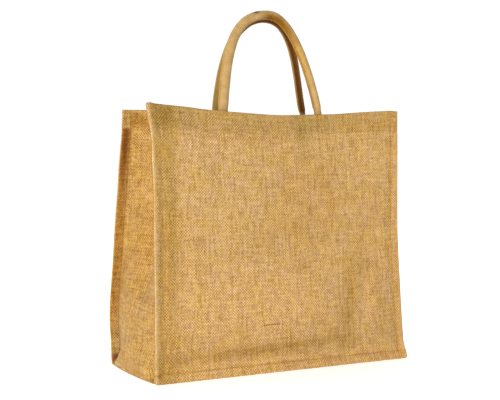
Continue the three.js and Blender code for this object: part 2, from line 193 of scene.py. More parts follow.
def work_out(rows, column, place):
    place = clamp(place, rows[0]["place"], rows[-1]["place"])
    i = max(next(k for k, row in enumerate(rows) if row["place"] >= place), 1)

    def slope(k):
        a, b = rows[max(k - 1, 0)], rows[min(k + 1, len(rows) - 1)]
        return (b[column] - a[column]) / (b["place"] - a["place"])

    low, high = rows[i - 1], rows[i]
    span = high["place"] - low["place"]
    t = (place - low["place"]) / span
    bend = t * (1 - t) * span * ((1 - t) * slope(i - 1) - t * slope(i))
    return mix(low[column], high[column], smooth(t, 0, 1)) + bend


halfway = along(BACK_LEFT_EDGE, "lean", BAG_HEIGHT / 2)
print("the back panel's left edge leans in", round(halfway, 1), "mm at half its height")

# %% [markdown]
# ## The shape of a panel
# On the real bag a panel is one flat piece of cloth. It is pinched at its seam, swells a little
# inside it, and leans in towards the mouth. A cloth simulation could find such a shape, but never
# with its folds just where this bag has them. So the panel is described once, as a function from a
# point of the flat cloth to the point where it stands. Then come the small things: puckers along
# the seam, a groove under each line of stitches, and the few soft folds of the standing bag.

# %% Where the panel's cloth stands
# The swell inside the seam, the outward curl of the flange, and how the lean and the sag grow
PANEL_SWELL = 2.5
SWELL_START = 2
SWELL_WIDTH = 9
SWELL_FADE = 4
FLANGE_CURL = 2
CURL_START = 5
CURL_GROWTH = 1.5
LEAN_GROWTH = 2.2
RIM_FADE = 3
LEFT_CORNER_RADIUS = 3
RIGHT_CORNER_RADIUS = 6


def panel_face(panel, x, z):
    """The outer face of a panel at x and z of the flat cloth, in millimetres."""
    across = (x + HALF_WIDTH) / BAG_WIDTH
    high = max(z, 0) / BAG_HEIGHT
    to_seam = min(SEAM_X - abs(x), z - FLANGE)
    middle = max(0, 1 - (x / SEAM_X) ** 2)
    lean = mix(along(panel["left"], "lean", z), along(panel["right"], "lean", z), across)
    lean += panel["middle_lean"] * middle * high**LEAN_GROWTH
    from_swell = max(0, to_seam - SWELL_START)
    on_flange = clamp((CURL_START - to_seam) / (CURL_START + FLANGE)) ** CURL_GROWTH
    outward = PANEL_SWELL * (1 - math.exp(-from_swell / SWELL_WIDTH)) * (1 - high**SWELL_FADE)
    outward += FLANGE_CURL * on_flange
    drop = along(panel["rim"], "drop", x) * high**RIM_FADE
    inward = mix(along(panel["left"], "inward", z), -along(panel["right"], "inward", z), across)
    return Vector((x + inward, panel["to_back"] * (lean - outward - BAG_DEPTH / 2), z - drop))


rim_middle = panel_face(PANELS["front"], 0, BAG_HEIGHT)
print("the middle of the front rim stands at", [round(value, 1) for value in rim_middle])

# %% The rounded lower corners of a flange


def corner_radius(x):
    return LEFT_CORNER_RADIUS if x < 0 else RIGHT_CORNER_RADIUS


def round_corner(x, z):
    """The square corner of the flange, drawn in to a quarter circle."""
    radius = corner_radius(x)
    p = (abs(x) - HALF_WIDTH + radius) / radius
    q = (radius - z) / radius
    if p <= 0 or q <= 0:
        return x, z
    side = math.copysign(HALF_WIDTH - radius + radius * p * math.sqrt(1 - q * q / 2), x)
    return side, radius - radius * q * math.sqrt(1 - p * p / 2)


rounded = round_corner(-HALF_WIDTH, 0)
print("the left corner of the flat flange is drawn in to", [round(value, 1) for value in rounded])

# %% Puckers, grooves and folds pressed into a panel
# How deep each is, how long or wide, and how far it reaches
PUCKER = 0.45
PUCKER_LENGTH = 17
PUCKER_REACH = 22
SEAM_GROOVE = 0.3
HEM_GROOVE = 0.35
GROOVE_WIDTH = 2.2
HEM_STEP = 0.35
UNEVEN = 0.55
UNEVEN_LENGTH = 75
# Over these distances in from a seam or hem line, each of them starts
PUCKER_START = (-4, 3)
HEM_GROOVE_START = (-2, 2)
HEM_STEP_UP = (-3, 1)
HEM_STEP_START = (0, 6)
UNEVEN_START = (0, 30)
FOLD_START = (0, 12)

# Soft folds: the middle, the half length along its angle, the half width, and the depth inwards
FOLDS = {
    "front": table(
        "x z angle long wide deep",
        (112, 118, 92, 75, 9, 0.9), (128, 100, 86, 60, 8, -0.7), (146, 92, 95, 62, 7, 0.8),
        (165, 80, 98, 45, 8, -0.6), (20, 38, 3, 95, 9, 0.9), (40, 54, 2, 80, 9, -0.5),
        (-176, 150, 90, 150, 11, 0.7), (60, 200, 88, 60, 14, 0.5), (-120, 330, 12, 60, 12, 0.4),
        (96, 338, 100, 40, 12, 0.6), (150, 140, 60, 40, 10, 0.4),
    ),
    "back": table(
        "x z angle long wide deep",
        (-110, 120, 85, 80, 10, 0.9), (-60, 70, 30, 60, 12, 0.6), (70, 160, 95, 90, 12, 0.8),
        (140, 90, 80, 60, 9, 0.7), (0, 250, 5, 120, 15, 0.7), (-20, 40, 2, 110, 9, 0.8),
    ),
}


def oval(spot, x, z, strength=1):
    """The strength of a soft oval place at x and z. It is full in the oval's middle."""
    turn = math.radians(spot["angle"])
    dx, dz = x - spot["x"], z - spot["z"]
    length = dx * math.cos(turn) + dz * math.sin(turn)
    width = -dx * math.sin(turn) + dz * math.cos(turn)
    return strength * bell(length, spot["long"]) * bell(width, spot["wide"])


def panel_relief(side, x, z):
    """How far the cloth stands out from the smooth panel, in millimetres."""
    number = PANELS[side]["number"]
    from_side = SEAM_X - abs(x)
    from_base = z - FLANGE
    to_seam = min(from_side, from_base)
    run = z if from_side < from_base else x
    # Each panel and each half of it takes its own layer of the noise
    wave = noise.noise(Vector((run / PUCKER_LENGTH, number * 7, math.copysign(3, x))))
    pucker = PUCKER * wave * smooth(to_seam, *PUCKER_START) * bell(max(0, to_seam), PUCKER_REACH)
    groove = SEAM_GROOVE * bell(to_seam, GROOVE_WIDTH)
    from_hem = z - HEM_LINE
    groove += HEM_GROOVE * bell(from_hem, GROOVE_WIDTH) * smooth(from_side, *HEM_GROOVE_START)
    step = HEM_STEP * smooth(from_hem, *HEM_STEP_UP) * smooth(from_side, *HEM_STEP_START)
    uneven = UNEVEN * noise.noise(Vector((x / UNEVEN_LENGTH, z / UNEVEN_LENGTH, number * 11)))
    uneven *= smooth(to_seam, *UNEVEN_START)
    folded = sum(oval(fold, x, z, fold["deep"]) for fold in FOLDS[side])
    return pucker - groove + step + uneven - folded * smooth(to_seam, *FOLD_START)


for side in PANELS:
    print("the", side, "panel stands out by", round(panel_relief(side, 0, BAG_HEIGHT / 2), 2),
          "mm in its middle and has", len(FOLDS[side]), "soft folds")


# %% [markdown]
# ## From flat cloth to a closed piece
# Each piece of cloth starts as a flat grid, is extruded into a slab one cell thick, and then every
# corner is moved to its place. A Solidify modifier could give the thickness too, but not two faces
# that differ, as a turned edge needs. The grid keeps its own flat coordinates as a UV map in
# metres, so the yarns of the weave follow the cloth round every bend.

# %% A slab of cloth from a grid


def place(point):
    """A point in millimetres, set over to where the bag stands, in metres."""
    return (point + SET_OVER) * MM


def add_slab(bm, across, up, at):
    """Adds a closed slab. across and up are the flat places of its grid lines, and at(i, j, layer)
    gives the place of a corner on the outer layer, 0, or the inner one, 1."""
    columns, rows = len(across) - 1, len(up) - 1
    made = bmesh.ops.create_grid(bm, x_segments=columns, y_segments=rows, size=0.5)
    flat_faces = list({face for vert in made["verts"] for face in vert.link_faces})
    raised = bmesh.ops.extrude_face_region(bm, geom=flat_faces, use_keep_orig=True)
    top = [item for item in raised["geom"] if isinstance(item, bmesh.types.BMVert)]
    bmesh.ops.translate(bm, verts=top, vec=(0, 0, 1))
    slab_verts = made["verts"] + top
    faces = {face for vert in slab_verts for face in vert.link_faces}
    uv = bm.loops.layers.uv["cloth"]
    index = {
        v: (round((v.co.x + 0.5) * columns), round((v.co.y + 0.5) * rows), round(v.co.z))
        for v in slab_verts
    }
    for face in faces:
        corners = [index[loop.vert] for loop in face.loops]
        is_wall = len({layer for _, _, layer in corners}) > 1
        for loop, (i, j, layer) in zip(face.loops, corners):
            edge = JUTE * layer if is_wall else 0
            loop[uv].uv = ((across[i] + edge) * MM, (up[j] + edge) * MM)
    for v, (i, j, layer) in index.items():
        v.co = at(i, j, layer)


def new_cloth():
    bm = bmesh.new()
    bm.loops.layers.uv.new("cloth")
    return bm


print("a point of the flat cloth at 0, 0, 0 stands at", [round(v, 4) for v in place(Vector())])

# %% A finished piece
WELD = 1e-6


def finish_mesh(bm, name, material):
    """Turns the faces outwards and makes the piece."""
    bmesh.ops.remove_doubles(bm, verts=bm.verts, dist=WELD)
    bmesh.ops.recalc_face_normals(bm, faces=bm.faces)
    open_edges = sum(not edge.is_manifold for edge in bm.edges)
    for face in bm.faces:
        face.smooth = True
    mesh = bpy.data.meshes.new(name)
    bm.to_mesh(mesh)
    bm.free()
    piece = bpy.data.objects.new(name, mesh)
    bpy.context.scene.collection.objects.link(piece)
    mesh.materials.append(material)
    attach(piece, "root")
    print(name, "has", len(mesh.polygons), "faces and", open_edges, "open edges")
    return piece


# %% [markdown]
# ## Plain woven jute
# Jute cloth for bags has about twelve thick yarns to the inch each way, one over and one under.
# The yarns are uneven: some are darker, and each has thick, loose places. Single yarns of mesh
# would be far too heavy, and a picture of cloth would repeat. So the pattern is made by nodes from
# the cloth's flat coordinates. Two waves at right angles make the crossings, the higher of the two
# is the yarn that shows, and the gaps between yarns are dark.

# %% Node helpers


class Nodes:
    """Adds shader nodes to a material and joins them."""

    def __init__(self, name):
        self.material = bpy.data.materials.new(name)
        self.material.use_nodes = True
        self.tree = self.material.node_tree
        self.shader = self.tree.nodes["Principled BSDF"]

    def put(self, node, name, value):
        socket = node.inputs[name]
        if isinstance(value, bpy.types.NodeSocket):
            self.tree.links.new(value, socket)
        else:
            socket.default_value = value

    def add(self, kind, **inputs):
        node = self.tree.nodes.new(kind)
        for name, value in inputs.items():
            self.put(node, int(name[1:]) if name[0] == "i" else name, value)
        return node

    def math(self, operation, a, b=0.0, c=0.0):
        node = self.tree.nodes.new("ShaderNodeMath")
        node.operation = operation
        for i, value in enumerate((a, b, c)):
            self.put(node, i, value)
        return node.outputs[0]

    def vector(self, operation, a, b, c=(0, 0, 0)):
        node = self.tree.nodes.new("ShaderNodeVectorMath")
        node.operation = operation
        for i, value in enumerate((a, b, c)):
            self.put(node, i, value)
        return node.outputs[0]

    def noise(self, vector, scale, detail=2.0, rough=0.5):
        node = self.tree.nodes.new("ShaderNodeTexNoise")
        self.put(node, "Vector", vector)
        self.put(node, "Scale", scale)
        self.put(node, "Detail", detail)
        self.put(node, "Roughness", rough)
        return node.outputs["Fac"]

    def ramp(self, value, low, high, to_low=0.0, to_high=1.0):
        node = self.tree.nodes.new("ShaderNodeMapRange")
        node.interpolation_type = "SMOOTHSTEP"
        for i, number in enumerate((value, low, high, to_low, to_high)):
            self.put(node, i, number)
        return node.outputs[0]

    def mix(self, share, a, b, blend="MIX"):
        node = self.tree.nodes.new("ShaderNodeMix")
        node.data_type = "RGBA"
        node.blend_type = blend
        self.put(node, 0, share)
        self.put(node, 6, a)
        self.put(node, 7, b)
        return node.outputs[2]

    def cloth_place(self):
        """The place on the flat cloth, in metres."""
        uv = self.add("ShaderNodeUVMap")
        uv.uv_map = "cloth"
        return uv.outputs[0]

    def painted(self, colour):
        """The colour under the tone that is painted on the piece."""
        attribute = self.add("ShaderNodeAttribute")
        attribute.attribute_name = "shade"
        return self.mix(1.0, colour, attribute.outputs[0], "MULTIPLY")

    def surface(self, **values):
        """Sets the shader's own sockets. An underscore stands for a space."""
        for name, value in values.items():
            self.put(self.shader, name.replace("_", " "), value)

    def bump(self, height, distance, strength):
        node = self.tree.nodes.new("ShaderNodeBump")
        self.put(node, "Height", height)
        self.put(node, "Distance", distance)
        self.put(node, "Strength", strength)
        return node.outputs[0]


# %% Values of the weave
YARN = 2.05 * MM
print("the weave has", round(0.0254 / YARN, 1), "yarns to the inch")

# How much each kind of unevenness adds to the tone
CHECK_TONE = 0.5
YARN_TONE = 1.7
SPECKLE_TONE = 0.55
LINE_TONE = 0.36
PATCH_TONE = 0.15
STREAK_TONE = 0.22
SLUB_TONE = 0.55
GAP_SHADE = 0.4

# Noise drawn out along a yarn: its scale across the cloth, its scale up the cloth, and a seed
SHORT_WARP = (260, 50, 3.0)
SHORT_WEFT = (50, 260, 17.0)
LONG_WARP = (240, 9, 5.0)
LONG_WEFT = (9, 240, 29.0)
STREAKS = (75, 9, 40.0)
WARP_SLUBS = (420, 60, 88.0)
WEFT_SLUBS = (60, 420, 71.0)
TINT_YARNS = (150, 110, 55.0)

# Scales of round noise
WOBBLE_SCALE = 55.0
CLEAR_SCALE = 90.0
SPECKLE_SCALE = 300.0
PATCH_SCALE = 16.0
TINT_SCALE = 30.0
FIBRE_SCALE = 1600.0

WOBBLE = (0.002, 0.002, 0)
CLEAR_FROM, CLEAR_TO = 0.3, 1.6
WARM_TINT = (1.01, 0.99, 0.78, 1)
COOL_TINT = (1.0, 0.995, 1.2, 1)
TINT_YARN_SHARE = 0.9
CALM_FROM, CALM_TO = 6 * MM, 3 * MM
CALM_SHARE = 0.5
FIBRE_HEIGHT = 0.25
WEAVE_RELIEF = 0.0006

# %% The woven material


def woven_jute(name, light, dark, gap, weft_share=0.7):
    n = Nodes(name)
    flat = n.cloth_place()
    wobble = n.add("ShaderNodeTexNoise", Vector=flat, Scale=WOBBLE_SCALE, Detail=2.0)
    shift = n.vector("SUBTRACT", wobble.outputs["Color"], (0.5, 0.5, 0.5))
    moved = n.vector("ADD", flat, n.vector("MULTIPLY", shift, WOBBLE))
    split = n.add("ShaderNodeSeparateXYZ", i0=moved)
    a = n.math("DIVIDE", split.outputs[0], YARN)
    b = n.math("DIVIDE", split.outputs[1], YARN)

    def wave(line):
        return n.math("SINE", n.math("MULTIPLY", line, math.pi))

    # The crossings: warp over weft is 1, weft over warp is -1
    across, up = wave(a), wave(b)
    check = n.math("MULTIPLY", across, up)
    clear = n.ramp(n.noise(flat, CLEAR_SCALE, 2.0, 0.6), 0.35, 0.65, CLEAR_FROM, CLEAR_TO)
    warp = n.math("MULTIPLY", n.math("ABSOLUTE", across), n.ramp(check, -1.0, 1.0))
    fill = n.math("MULTIPLY", n.math("ABSOLUTE", up), n.ramp(check, 1.0, -1.0))
    height = n.math("MAXIMUM", warp, fill)

    def yarns(scale_across, scale_up, seed):
        """An uneven tone in long threads."""
        where = n.vector("MULTIPLY_ADD", flat, (scale_across, scale_up, 0), (seed, seed, seed))
        return n.math("SUBTRACT", n.noise(where, 1.0, 3.0, 0.65), 0.5)

    # Where the warp is over, its tone shows, and elsewhere the weft's
    over = n.ramp(check, -0.6, 0.6)
    under = n.math("SUBTRACT", 1.0, over)
    warp_tone = n.math("MULTIPLY", yarns(*SHORT_WARP), over)
    weft_tone = n.math("MULTIPLY", n.math("MULTIPLY", yarns(*SHORT_WEFT), weft_share), under)
    tone = n.math("ADD", warp_tone, weft_tone)
    tone = n.math("MULTIPLY", tone, YARN_TONE)
    tone = n.math("MULTIPLY_ADD", n.math("MULTIPLY", check, clear), CHECK_TONE / 2, tone)
    speckle = n.math("SUBTRACT", n.noise(flat, SPECKLE_SCALE, 1.0), 0.5)
    tone = n.math("MULTIPLY_ADD", speckle, SPECKLE_TONE, tone)
    # Some yarns are lighter or darker over a long way
    long_weft = n.math("MULTIPLY", yarns(*LONG_WEFT), weft_share)
    lines = n.math("ADD", yarns(*LONG_WARP), long_weft)
    tone = n.math("MULTIPLY_ADD", lines, LINE_TONE, tone)
    # The rolled edge of a panel is stretched, and its crossings show less
    from_middle = n.math("ABSOLUTE", n.add("ShaderNodeSeparateXYZ", i0=flat).outputs[0])
    edge = HALF_WIDTH * MM
    calm = n.ramp(from_middle, edge - CALM_FROM, edge - CALM_TO, 1.0, CALM_SHARE)
    tone = n.math("MULTIPLY_ADD", tone, calm, 0.5)
    patches = n.math("SUBTRACT", n.noise(flat, PATCH_SCALE, 3.0, 0.6), 0.5)
    tone = n.math("MULTIPLY_ADD", patches, PATCH_TONE, tone)
    tone = n.math("MULTIPLY_ADD", yarns(*STREAKS), STREAK_TONE, tone)
    # Here and there a yarn has a thick, loose and darker place
    weft_slubs = n.ramp(yarns(*WEFT_SLUBS), 0.17, 0.24)
    warp_slubs = n.ramp(yarns(*WARP_SLUBS), 0.19, 0.26)
    tone = n.math("MULTIPLY_ADD", n.math("ADD", weft_slubs, warp_slubs), -SLUB_TONE, tone)
    colour = n.mix(n.ramp(tone, 0.0, 1.0), dark, light)
    colour = n.mix(n.ramp(height, 0.0, 0.6, GAP_SHADE, 0.0), colour, gap)
    cloud = n.noise(flat, TINT_SCALE, 3.0, 0.65)
    warmth = n.math("MULTIPLY_ADD", yarns(*TINT_YARNS), TINT_YARN_SHARE, cloud)
    tint = n.mix(n.ramp(warmth, 0.3, 0.7), COOL_TINT, WARM_TINT)
    colour = n.painted(n.mix(1.0, colour, tint, "MULTIPLY"))
    fibre = n.noise(flat, FIBRE_SCALE, 2.0, 0.6)
    relief = n.math("MULTIPLY_ADD", fibre, FIBRE_HEIGHT, height)
    n.surface(
        Base_Color=colour, Roughness=0.92, Specular_IOR_Level=0.25, Sheen_Weight=0.04,
        Sheen_Roughness=0.6, Normal=n.bump(relief, WEAVE_RELIEF, 0.6),
    )
    return n.material


# %% The jute of the panels and of the band
JUTE_LIGHT = (0.712, 0.47, 0.192, 1)
JUTE_DARK = (0.27, 0.126, 0.0125, 1)
JUTE_GAP = (0.16, 0.07, 0.015, 1)
panel_jute = woven_jute("natural_jute_panel", JUTE_LIGHT, JUTE_DARK, JUTE_GAP)
BAND_LIGHT = (0.60, 0.366, 0.106, 1)
BAND_DARK = (0.205, 0.088, 0.006, 1)
band_jute = woven_jute("natural_jute_band", BAND_LIGHT, BAND_DARK, JUTE_GAP, weft_share=1.2)
for jute in (panel_jute, band_jute):
    print(jute.name, "has", len(jute.node_tree.nodes), "nodes")

# %% [markdown]
# ## Larger tones
# Natural jute is not dyed, so a bag has darker and lighter, yellower and pinker places. Its folds,
# grooves and seams also look darker than its middle, and its rolled edges lighter. Lamps alone
# don't give this, so that part is painted shade and painted highlight. The tone is stored on each
# corner of the mesh, as if painted by hand, and the material is multiplied by it. The places
# are soft ovals, given by the flat cloth, so they stay with it wherever it is bent.

# %% Tone painted on the cloth


def paint_shade(piece, tone):
    """Stores a tone on each corner of the cloth, from a function of the point's flat place."""
    mesh = piece.data
    layer = mesh.color_attributes.new("shade", "FLOAT_COLOR", "CORNER")
    known = {}
    for corner, item in zip(layer.data, mesh.uv_layers["cloth"].data):
        place_in_cloth = (round(item.uv[0] / MM, 2), round(item.uv[1] / MM, 2))
        if place_in_cloth not in known:
            known[place_in_cloth] = (*tone(*place_in_cloth), 1)
        corner.color = known[place_in_cloth]


def patch_tone(patches, x, z):
    """The tone of soft oval patches. red, green and blue are the tone in a patch's middle."""
    tone = [1, 1, 1]
    for patch in patches:
        share = oval(patch, x, z)
        for i, colour in enumerate(("red", "green", "blue")):
            tone[i] *= mix(1, patch[colour], share)
    return tone


def times(*tones):
    return [math.prod(values) for values in zip(*tones)]


def towards_tone(colour, share):
    return [mix(1, value, share) for value in colour]


# %% Oval places on the panels
# Most places are the jute's own uneven colour. On the front, the long dark band at x -45 just above
# the base seam and the dark streak at x 113 are painted shade in soft folds, and the small dark
# spot at x -205 is painted shade in the crease at the left foot.
PATCHES = {
    "front": table(
        "x z angle long wide red green blue",
        (-178, 366, 0, 42, 20, 0.86, 0.86, 0.77), (41, 350, 92, 34, 13, 0.80, 0.82, 0.70),
        (50, 365, 0, 26, 10, 0.88, 0.88, 0.80), (-105, 366, 0, 16, 14, 1.10, 1.08, 1.14),
        (-45, 35, 2, 150, 9, 0.76, 0.70, 0.47), (113, 90, 74, 80, 17, 0.79, 0.76, 0.57),
        (140, 66, 80, 40, 12, 1.10, 1.10, 1.16), (-97, 285, 95, 90, 65, 1.02, 1.03, 1.10),
        (-50, 95, 0, 150, 52, 1.14, 1.13, 1.19), (45, 245, 90, 70, 50, 0.97, 0.94, 0.86),
        (66, 288, 85, 22, 10, 0.90, 0.87, 0.76), (-182, 235, 90, 95, 8, 0.90, 0.89, 0.80),
        (-160, 327, 4, 22, 8, 1.06, 1.06, 1.14), (20, 205, 5, 60, 18, 0.94, 0.92, 0.82),
        (-50, 342, 0, 130, 4, 0.90, 0.87, 0.76), (165, 120, 92, 80, 8, 0.95, 0.92, 0.86),
        (150, 364, 0, 50, 16, 1.07, 1.04, 1.0), (150, 190, 90, 110, 26, 1.06, 1.04, 1.03),
        (85, 240, 90, 45, 6, 0.92, 0.87, 0.76), (-205, 12, 70, 9, 4, 0.66, 0.60, 0.48),
    ),
    "back": table(
        "x z angle long wide red green blue",
        (150, 362, 0, 50, 18, 0.88, 0.88, 0.78), (-40, 352, 88, 30, 14, 0.85, 0.85, 0.74),
        (30, 34, 1, 150, 11, 0.88, 0.86, 0.77), (-120, 110, 95, 80, 14, 0.86, 0.85, 0.76),
        (70, 250, 92, 100, 60, 1.03, 1.03, 1.08), (-60, 200, 88, 80, 20, 0.94, 0.91, 0.84),
        (160, 130, 90, 80, 9, 0.90, 0.89, 0.82), (10, 120, 3, 90, 30, 1.04, 1.02, 1.04),
    ),
}
for side in PANELS:
    print("the", side, "panel has", len(PATCHES[side]), "oval places")

# %% Tones of a panel's flanges, seams, hem and rolled left edge
# Each is what red, green and blue are multiplied by
# Painted shade along the left flange of each panel and the cloth beside it
LEFT_FLANGE_SHADE = (0.82, 0.785, 0.56)
RIGHT_FLANGE_TONE = (1.0, 0.97, 0.96)
RIGHT_SEAM_TONE = (1.0, 0.88, 0.55)
BASE_FLANGE_TONE = (1.14, 1.13, 1.16)
BASE_SEAM_TONE = (0.86, 0.80, 0.62)
# Painted highlight on the rolled left edge of each panel and along the band's edges
BEAD_HIGHLIGHT = (1.07, 1.15, 1.38)
HEM_TONE = (0.83, 0.825, 0.70)
print("a hem takes away", round(100 * (1 - HEM_TONE[0])), "% of the red")

# %% Where a panel's tones lie
# From the first distance to the second, each of these tones starts or fades
BEAD_FADE = (3.5, 7.5)
LEFT_FLANGE_FADE = (1.5 * FLANGE, 3.9 * FLANGE)
RIGHT_FLANGE_FADE = (0.5 * FLANGE, 1.4 * FLANGE)
BASE_FLANGE_FADE = (1.3 * FLANGE, 2.1 * FLANGE)
HEM_START = (BAG_HEIGHT - HEM - 2, BAG_HEIGHT - HEM + 6)
SEAM_TONE_WIDTH = 2.0


def panel_tone(side):
    def tone(x, z):
        from_left, from_right = x + HALF_WIDTH, HALF_WIDTH - x
        # Painted shade along the left flange
        left = smooth(from_left, *BEAD_FADE) * (1 - smooth(from_left, *LEFT_FLANGE_FADE))
        # Painted highlight on the rolled left edge
        bead = 1 - smooth(from_left, *BEAD_FADE)
        right = 1 - smooth(from_right, *RIGHT_FLANGE_FADE)
        right_seam = bell(from_right - FLANGE, SEAM_TONE_WIDTH)
        base = 1 - smooth(z, *BASE_FLANGE_FADE)
        base_seam = bell(z - FLANGE, SEAM_TONE_WIDTH)
        hem = smooth(z, *HEM_START)
        return times(
            patch_tone(PATCHES[side], x, z), towards_tone(LEFT_FLANGE_SHADE, left),
            towards_tone(RIGHT_FLANGE_TONE, right), towards_tone(BASE_FLANGE_TONE, base),
            towards_tone(RIGHT_SEAM_TONE, right_seam), towards_tone(BASE_SEAM_TONE, base_seam),
            towards_tone(HEM_TONE, hem * (1 - bead)), towards_tone(BEAD_HIGHLIGHT, bead),
        )
    return tone


in_hem = panel_tone("front")(0, BAG_HEIGHT - HEM / 2)
print("the tone in the middle of the front hem is", [round(value, 2) for value in in_hem])

# %% [markdown]
# ## The two panels
# A maker cuts each panel from one piece, turns its raw edge in along the sides and the base, and
# folds a hem of 33 mm to the inside of the mouth. The panel could be one slab with a texture for
# its seams. Here the turned edge is thicker cloth with a rolled edge, and the hem is a second
# layer, because both show at the rim and from inside.

# %% Grid lines of a panel
FIELD_CELL = 3.0
EDGE_ROUND = 1.5
EDGE_ROLL = 0.5
EDGE_ROLL_WIDTH = 4.0
NEAR_EDGE = (0.12, 0.4, 0.85, 1.5)
FINE_CELL = 0.3
CLEAR_OF_FINE = 0.9


def grid_lines(first, last, cell, fine_at=(), near_first=(), near_last=()):
    """Lines a cell apart, and closer together near some places and near either end."""
    lines = {round(v, 3) for v in evenly(first, last, max(1, round((last - first) / cell)))}
    for spot in fine_at:
        lines = {v for v in lines if abs(v - spot) > CLEAR_OF_FINE * cell or v in (first, last)}
        lines |= {round(spot + k * cell * FINE_CELL, 3) for k in range(-2, 3)}
    for spot, inwards, steps in ((first, 1, near_first), (last, -1, near_last)):
        if steps:
            clear = max(steps) + 0.5
            lines = {v for v in lines if abs(v - spot) > clear or v == spot}
            lines |= {round(spot + inwards * step, 3) for step in steps}
    return sorted(v for v in lines if first <= v <= last)


panel_across = grid_lines(
    -HALF_WIDTH, HALF_WIDTH, FIELD_CELL, (-SEAM_X, SEAM_X), NEAR_EDGE, NEAR_EDGE
)
panel_up = grid_lines(0, BAG_HEIGHT, FIELD_CELL, (FLANGE, HEM_LINE), NEAR_EDGE, NEAR_EDGE)
print("a panel's grid is", len(panel_across), "by", len(panel_up))

# %% The two faces of a panel's main cloth
HEM_END = SEAM_X - FLANGE
HEM_OUTER = JUTE + HEM_GAP
HEM_INNER = HEM_OUTER + JUTE
FOLD_OVERLAP = 0.7
TURNED_STEP = 0.2
TURNED_START = (0, 3)


def rounding(from_edge, radius=EDGE_ROUND):
    """How far a rounded edge has fallen back at a distance from it."""
    if from_edge >= radius:
        return 0
    return radius * (1 - math.sqrt(max(0, 1 - (1 - from_edge / radius) ** 2)))


def main_outer(x, z):
    """The depth of the outer surface. Its edges are rounded, and rolled where they turn in."""
    from_edge = min(HALF_WIDTH - abs(x), z)
    roll = EDGE_ROLL * smooth(EDGE_ROLL_WIDTH - from_edge, 0, EDGE_ROLL_WIDTH / 2)
    return max(rounding(from_edge), rounding(BAG_HEIGHT - z)) - roll * (z < BAG_HEIGHT - HEM)


def main_inner(x, z):
    """The depth of the inner surface, which is thicker where the edge is turned in."""
    to_seam = min(SEAM_X - abs(x), z - FLANGE)
    from_edge = min(HALF_WIDTH - abs(x), z)
    turned = TURNED_EDGE + TURNED_STEP
    depth = mix(turned, JUTE, smooth(to_seam, *TURNED_START)) - rounding(from_edge)
    return depth - (rounding(BAG_HEIGHT - z) if abs(x) > HEM_END else 0)


turned_edge = main_inner(0, FLANGE / 2) - main_outer(0, FLANGE / 2)
print("the turned edge is", round(turned_edge, 2), "mm thick")

# %% A panel's cloth from three layers


def panel_slab(bm, side, across, up, outer, inner):
    """A layer of a panel's cloth between two depths from its outer face."""
    panel = PANELS[side]
    faces = []
    for x in across:
        column = []
        for z in up:
            flat_x, flat_z = round_corner(x, z)
            face = panel_face(panel, flat_x, flat_z)
            face.y -= panel["to_back"] * panel_relief(side, x, z)
            column.append(face)
        faces.append(column)

    def at(i, j, layer):
        depth = (inner if layer else outer)(across[i], up[j])
        return place(faces[i][j] + Vector((0, panel["to_back"] * depth, 0)))

    add_slab(bm, across, up, at)


def panel_cloth(side):
    """The main cloth, the second layer of the hem, and the fold that joins them at the rim."""
    bm = new_cloth()
    panel_slab(bm, side, panel_across, panel_up, main_outer, main_inner)
    hem_x = [x for x in panel_across if abs(x) < HEM_END]
    hem_up = [z for z in panel_up if z >= BAG_HEIGHT - HEM]
    panel_slab(
        bm, side, hem_x, hem_up,
        lambda x, z: HEM_OUTER, lambda x, z: HEM_INNER - rounding(BAG_HEIGHT - z),
    )
    fold_up = [z for z in panel_up if z >= BAG_HEIGHT - EDGE_ROUND]
    panel_slab(
        bm, side, hem_x, fold_up,
        lambda x, z: JUTE - FOLD_OVERLAP, lambda x, z: HEM_OUTER + FOLD_OVERLAP,
    )
    return bm


# %% Both panels
def make_panel(side):
    piece = finish_mesh(panel_cloth(side), side + "_panel_cloth", panel_jute)
    paint_shade(piece, panel_tone(side))
    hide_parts(side + "_panel")


for side in PANELS:
    make_panel(side)

# %% [markdown]
# ## The band of both sides and the base
# One long strip runs from the mouth down one side, under the bag and up the other side. A loft
# between a few drawn sections could make it, but would stretch the cloth at the corners. So it is
# laid out step by step along its seam line. At each step its section goes from the edge of the
# front flange across to the edge of the back flange: flat in the base, a soft ridge at the foot of
# each side, and a fold inwards above it.

# %% Values of the band
# The rounded corner of the seam line, the ridge at the foot, and the fold inwards above it
SEAM_RADIUS = 5
FOOT_LOW = 30
FOOT_TOP = 120
FOOT_RIDGE_FROM = 45
BASE_SHOULDER = 0.02
FOOT_BULGE = 4.5
LEAST_CREASE = 3
CREASE_SOFTNESS = 0.08
SIDE_BOW = 5
BOW_FADE = 60
MOUTH_SAG = 3
SEAM_TURN = 0.08
SEAM_ROUND = 2.5
BAND_CELL = 3.2
CORNER_STEPS = 8
GUSSET_HEM_LINE = BAND_MOUTH - GUSSET_HEM + HEM_STITCH_UP
print("the stitches of the band's hems run", GUSSET_HEM_LINE, "mm up")

# %% The band's seam line, step by step


def flange_reach(side, x, z, out_x, out_z):
    """From a point near a corner to the flange's outer edge, in a direction down and out."""
    radius = corner_radius(side)
    centre_x, centre_z = side * (HALF_WIDTH - radius), radius
    to_side = (HALF_WIDTH - side * x) / max(side * out_x, 1e-9)
    if z + to_side * out_z >= radius:
        return to_side
    to_floor = -z / out_z
    if side * (x + to_floor * out_x) <= side * centre_x:
        return to_floor
    dx, dz = x - centre_x, z - centre_z
    b = dx * out_x + dz * out_z
    return -b + math.sqrt(b * b - (dx * dx + dz * dz) + radius**2)


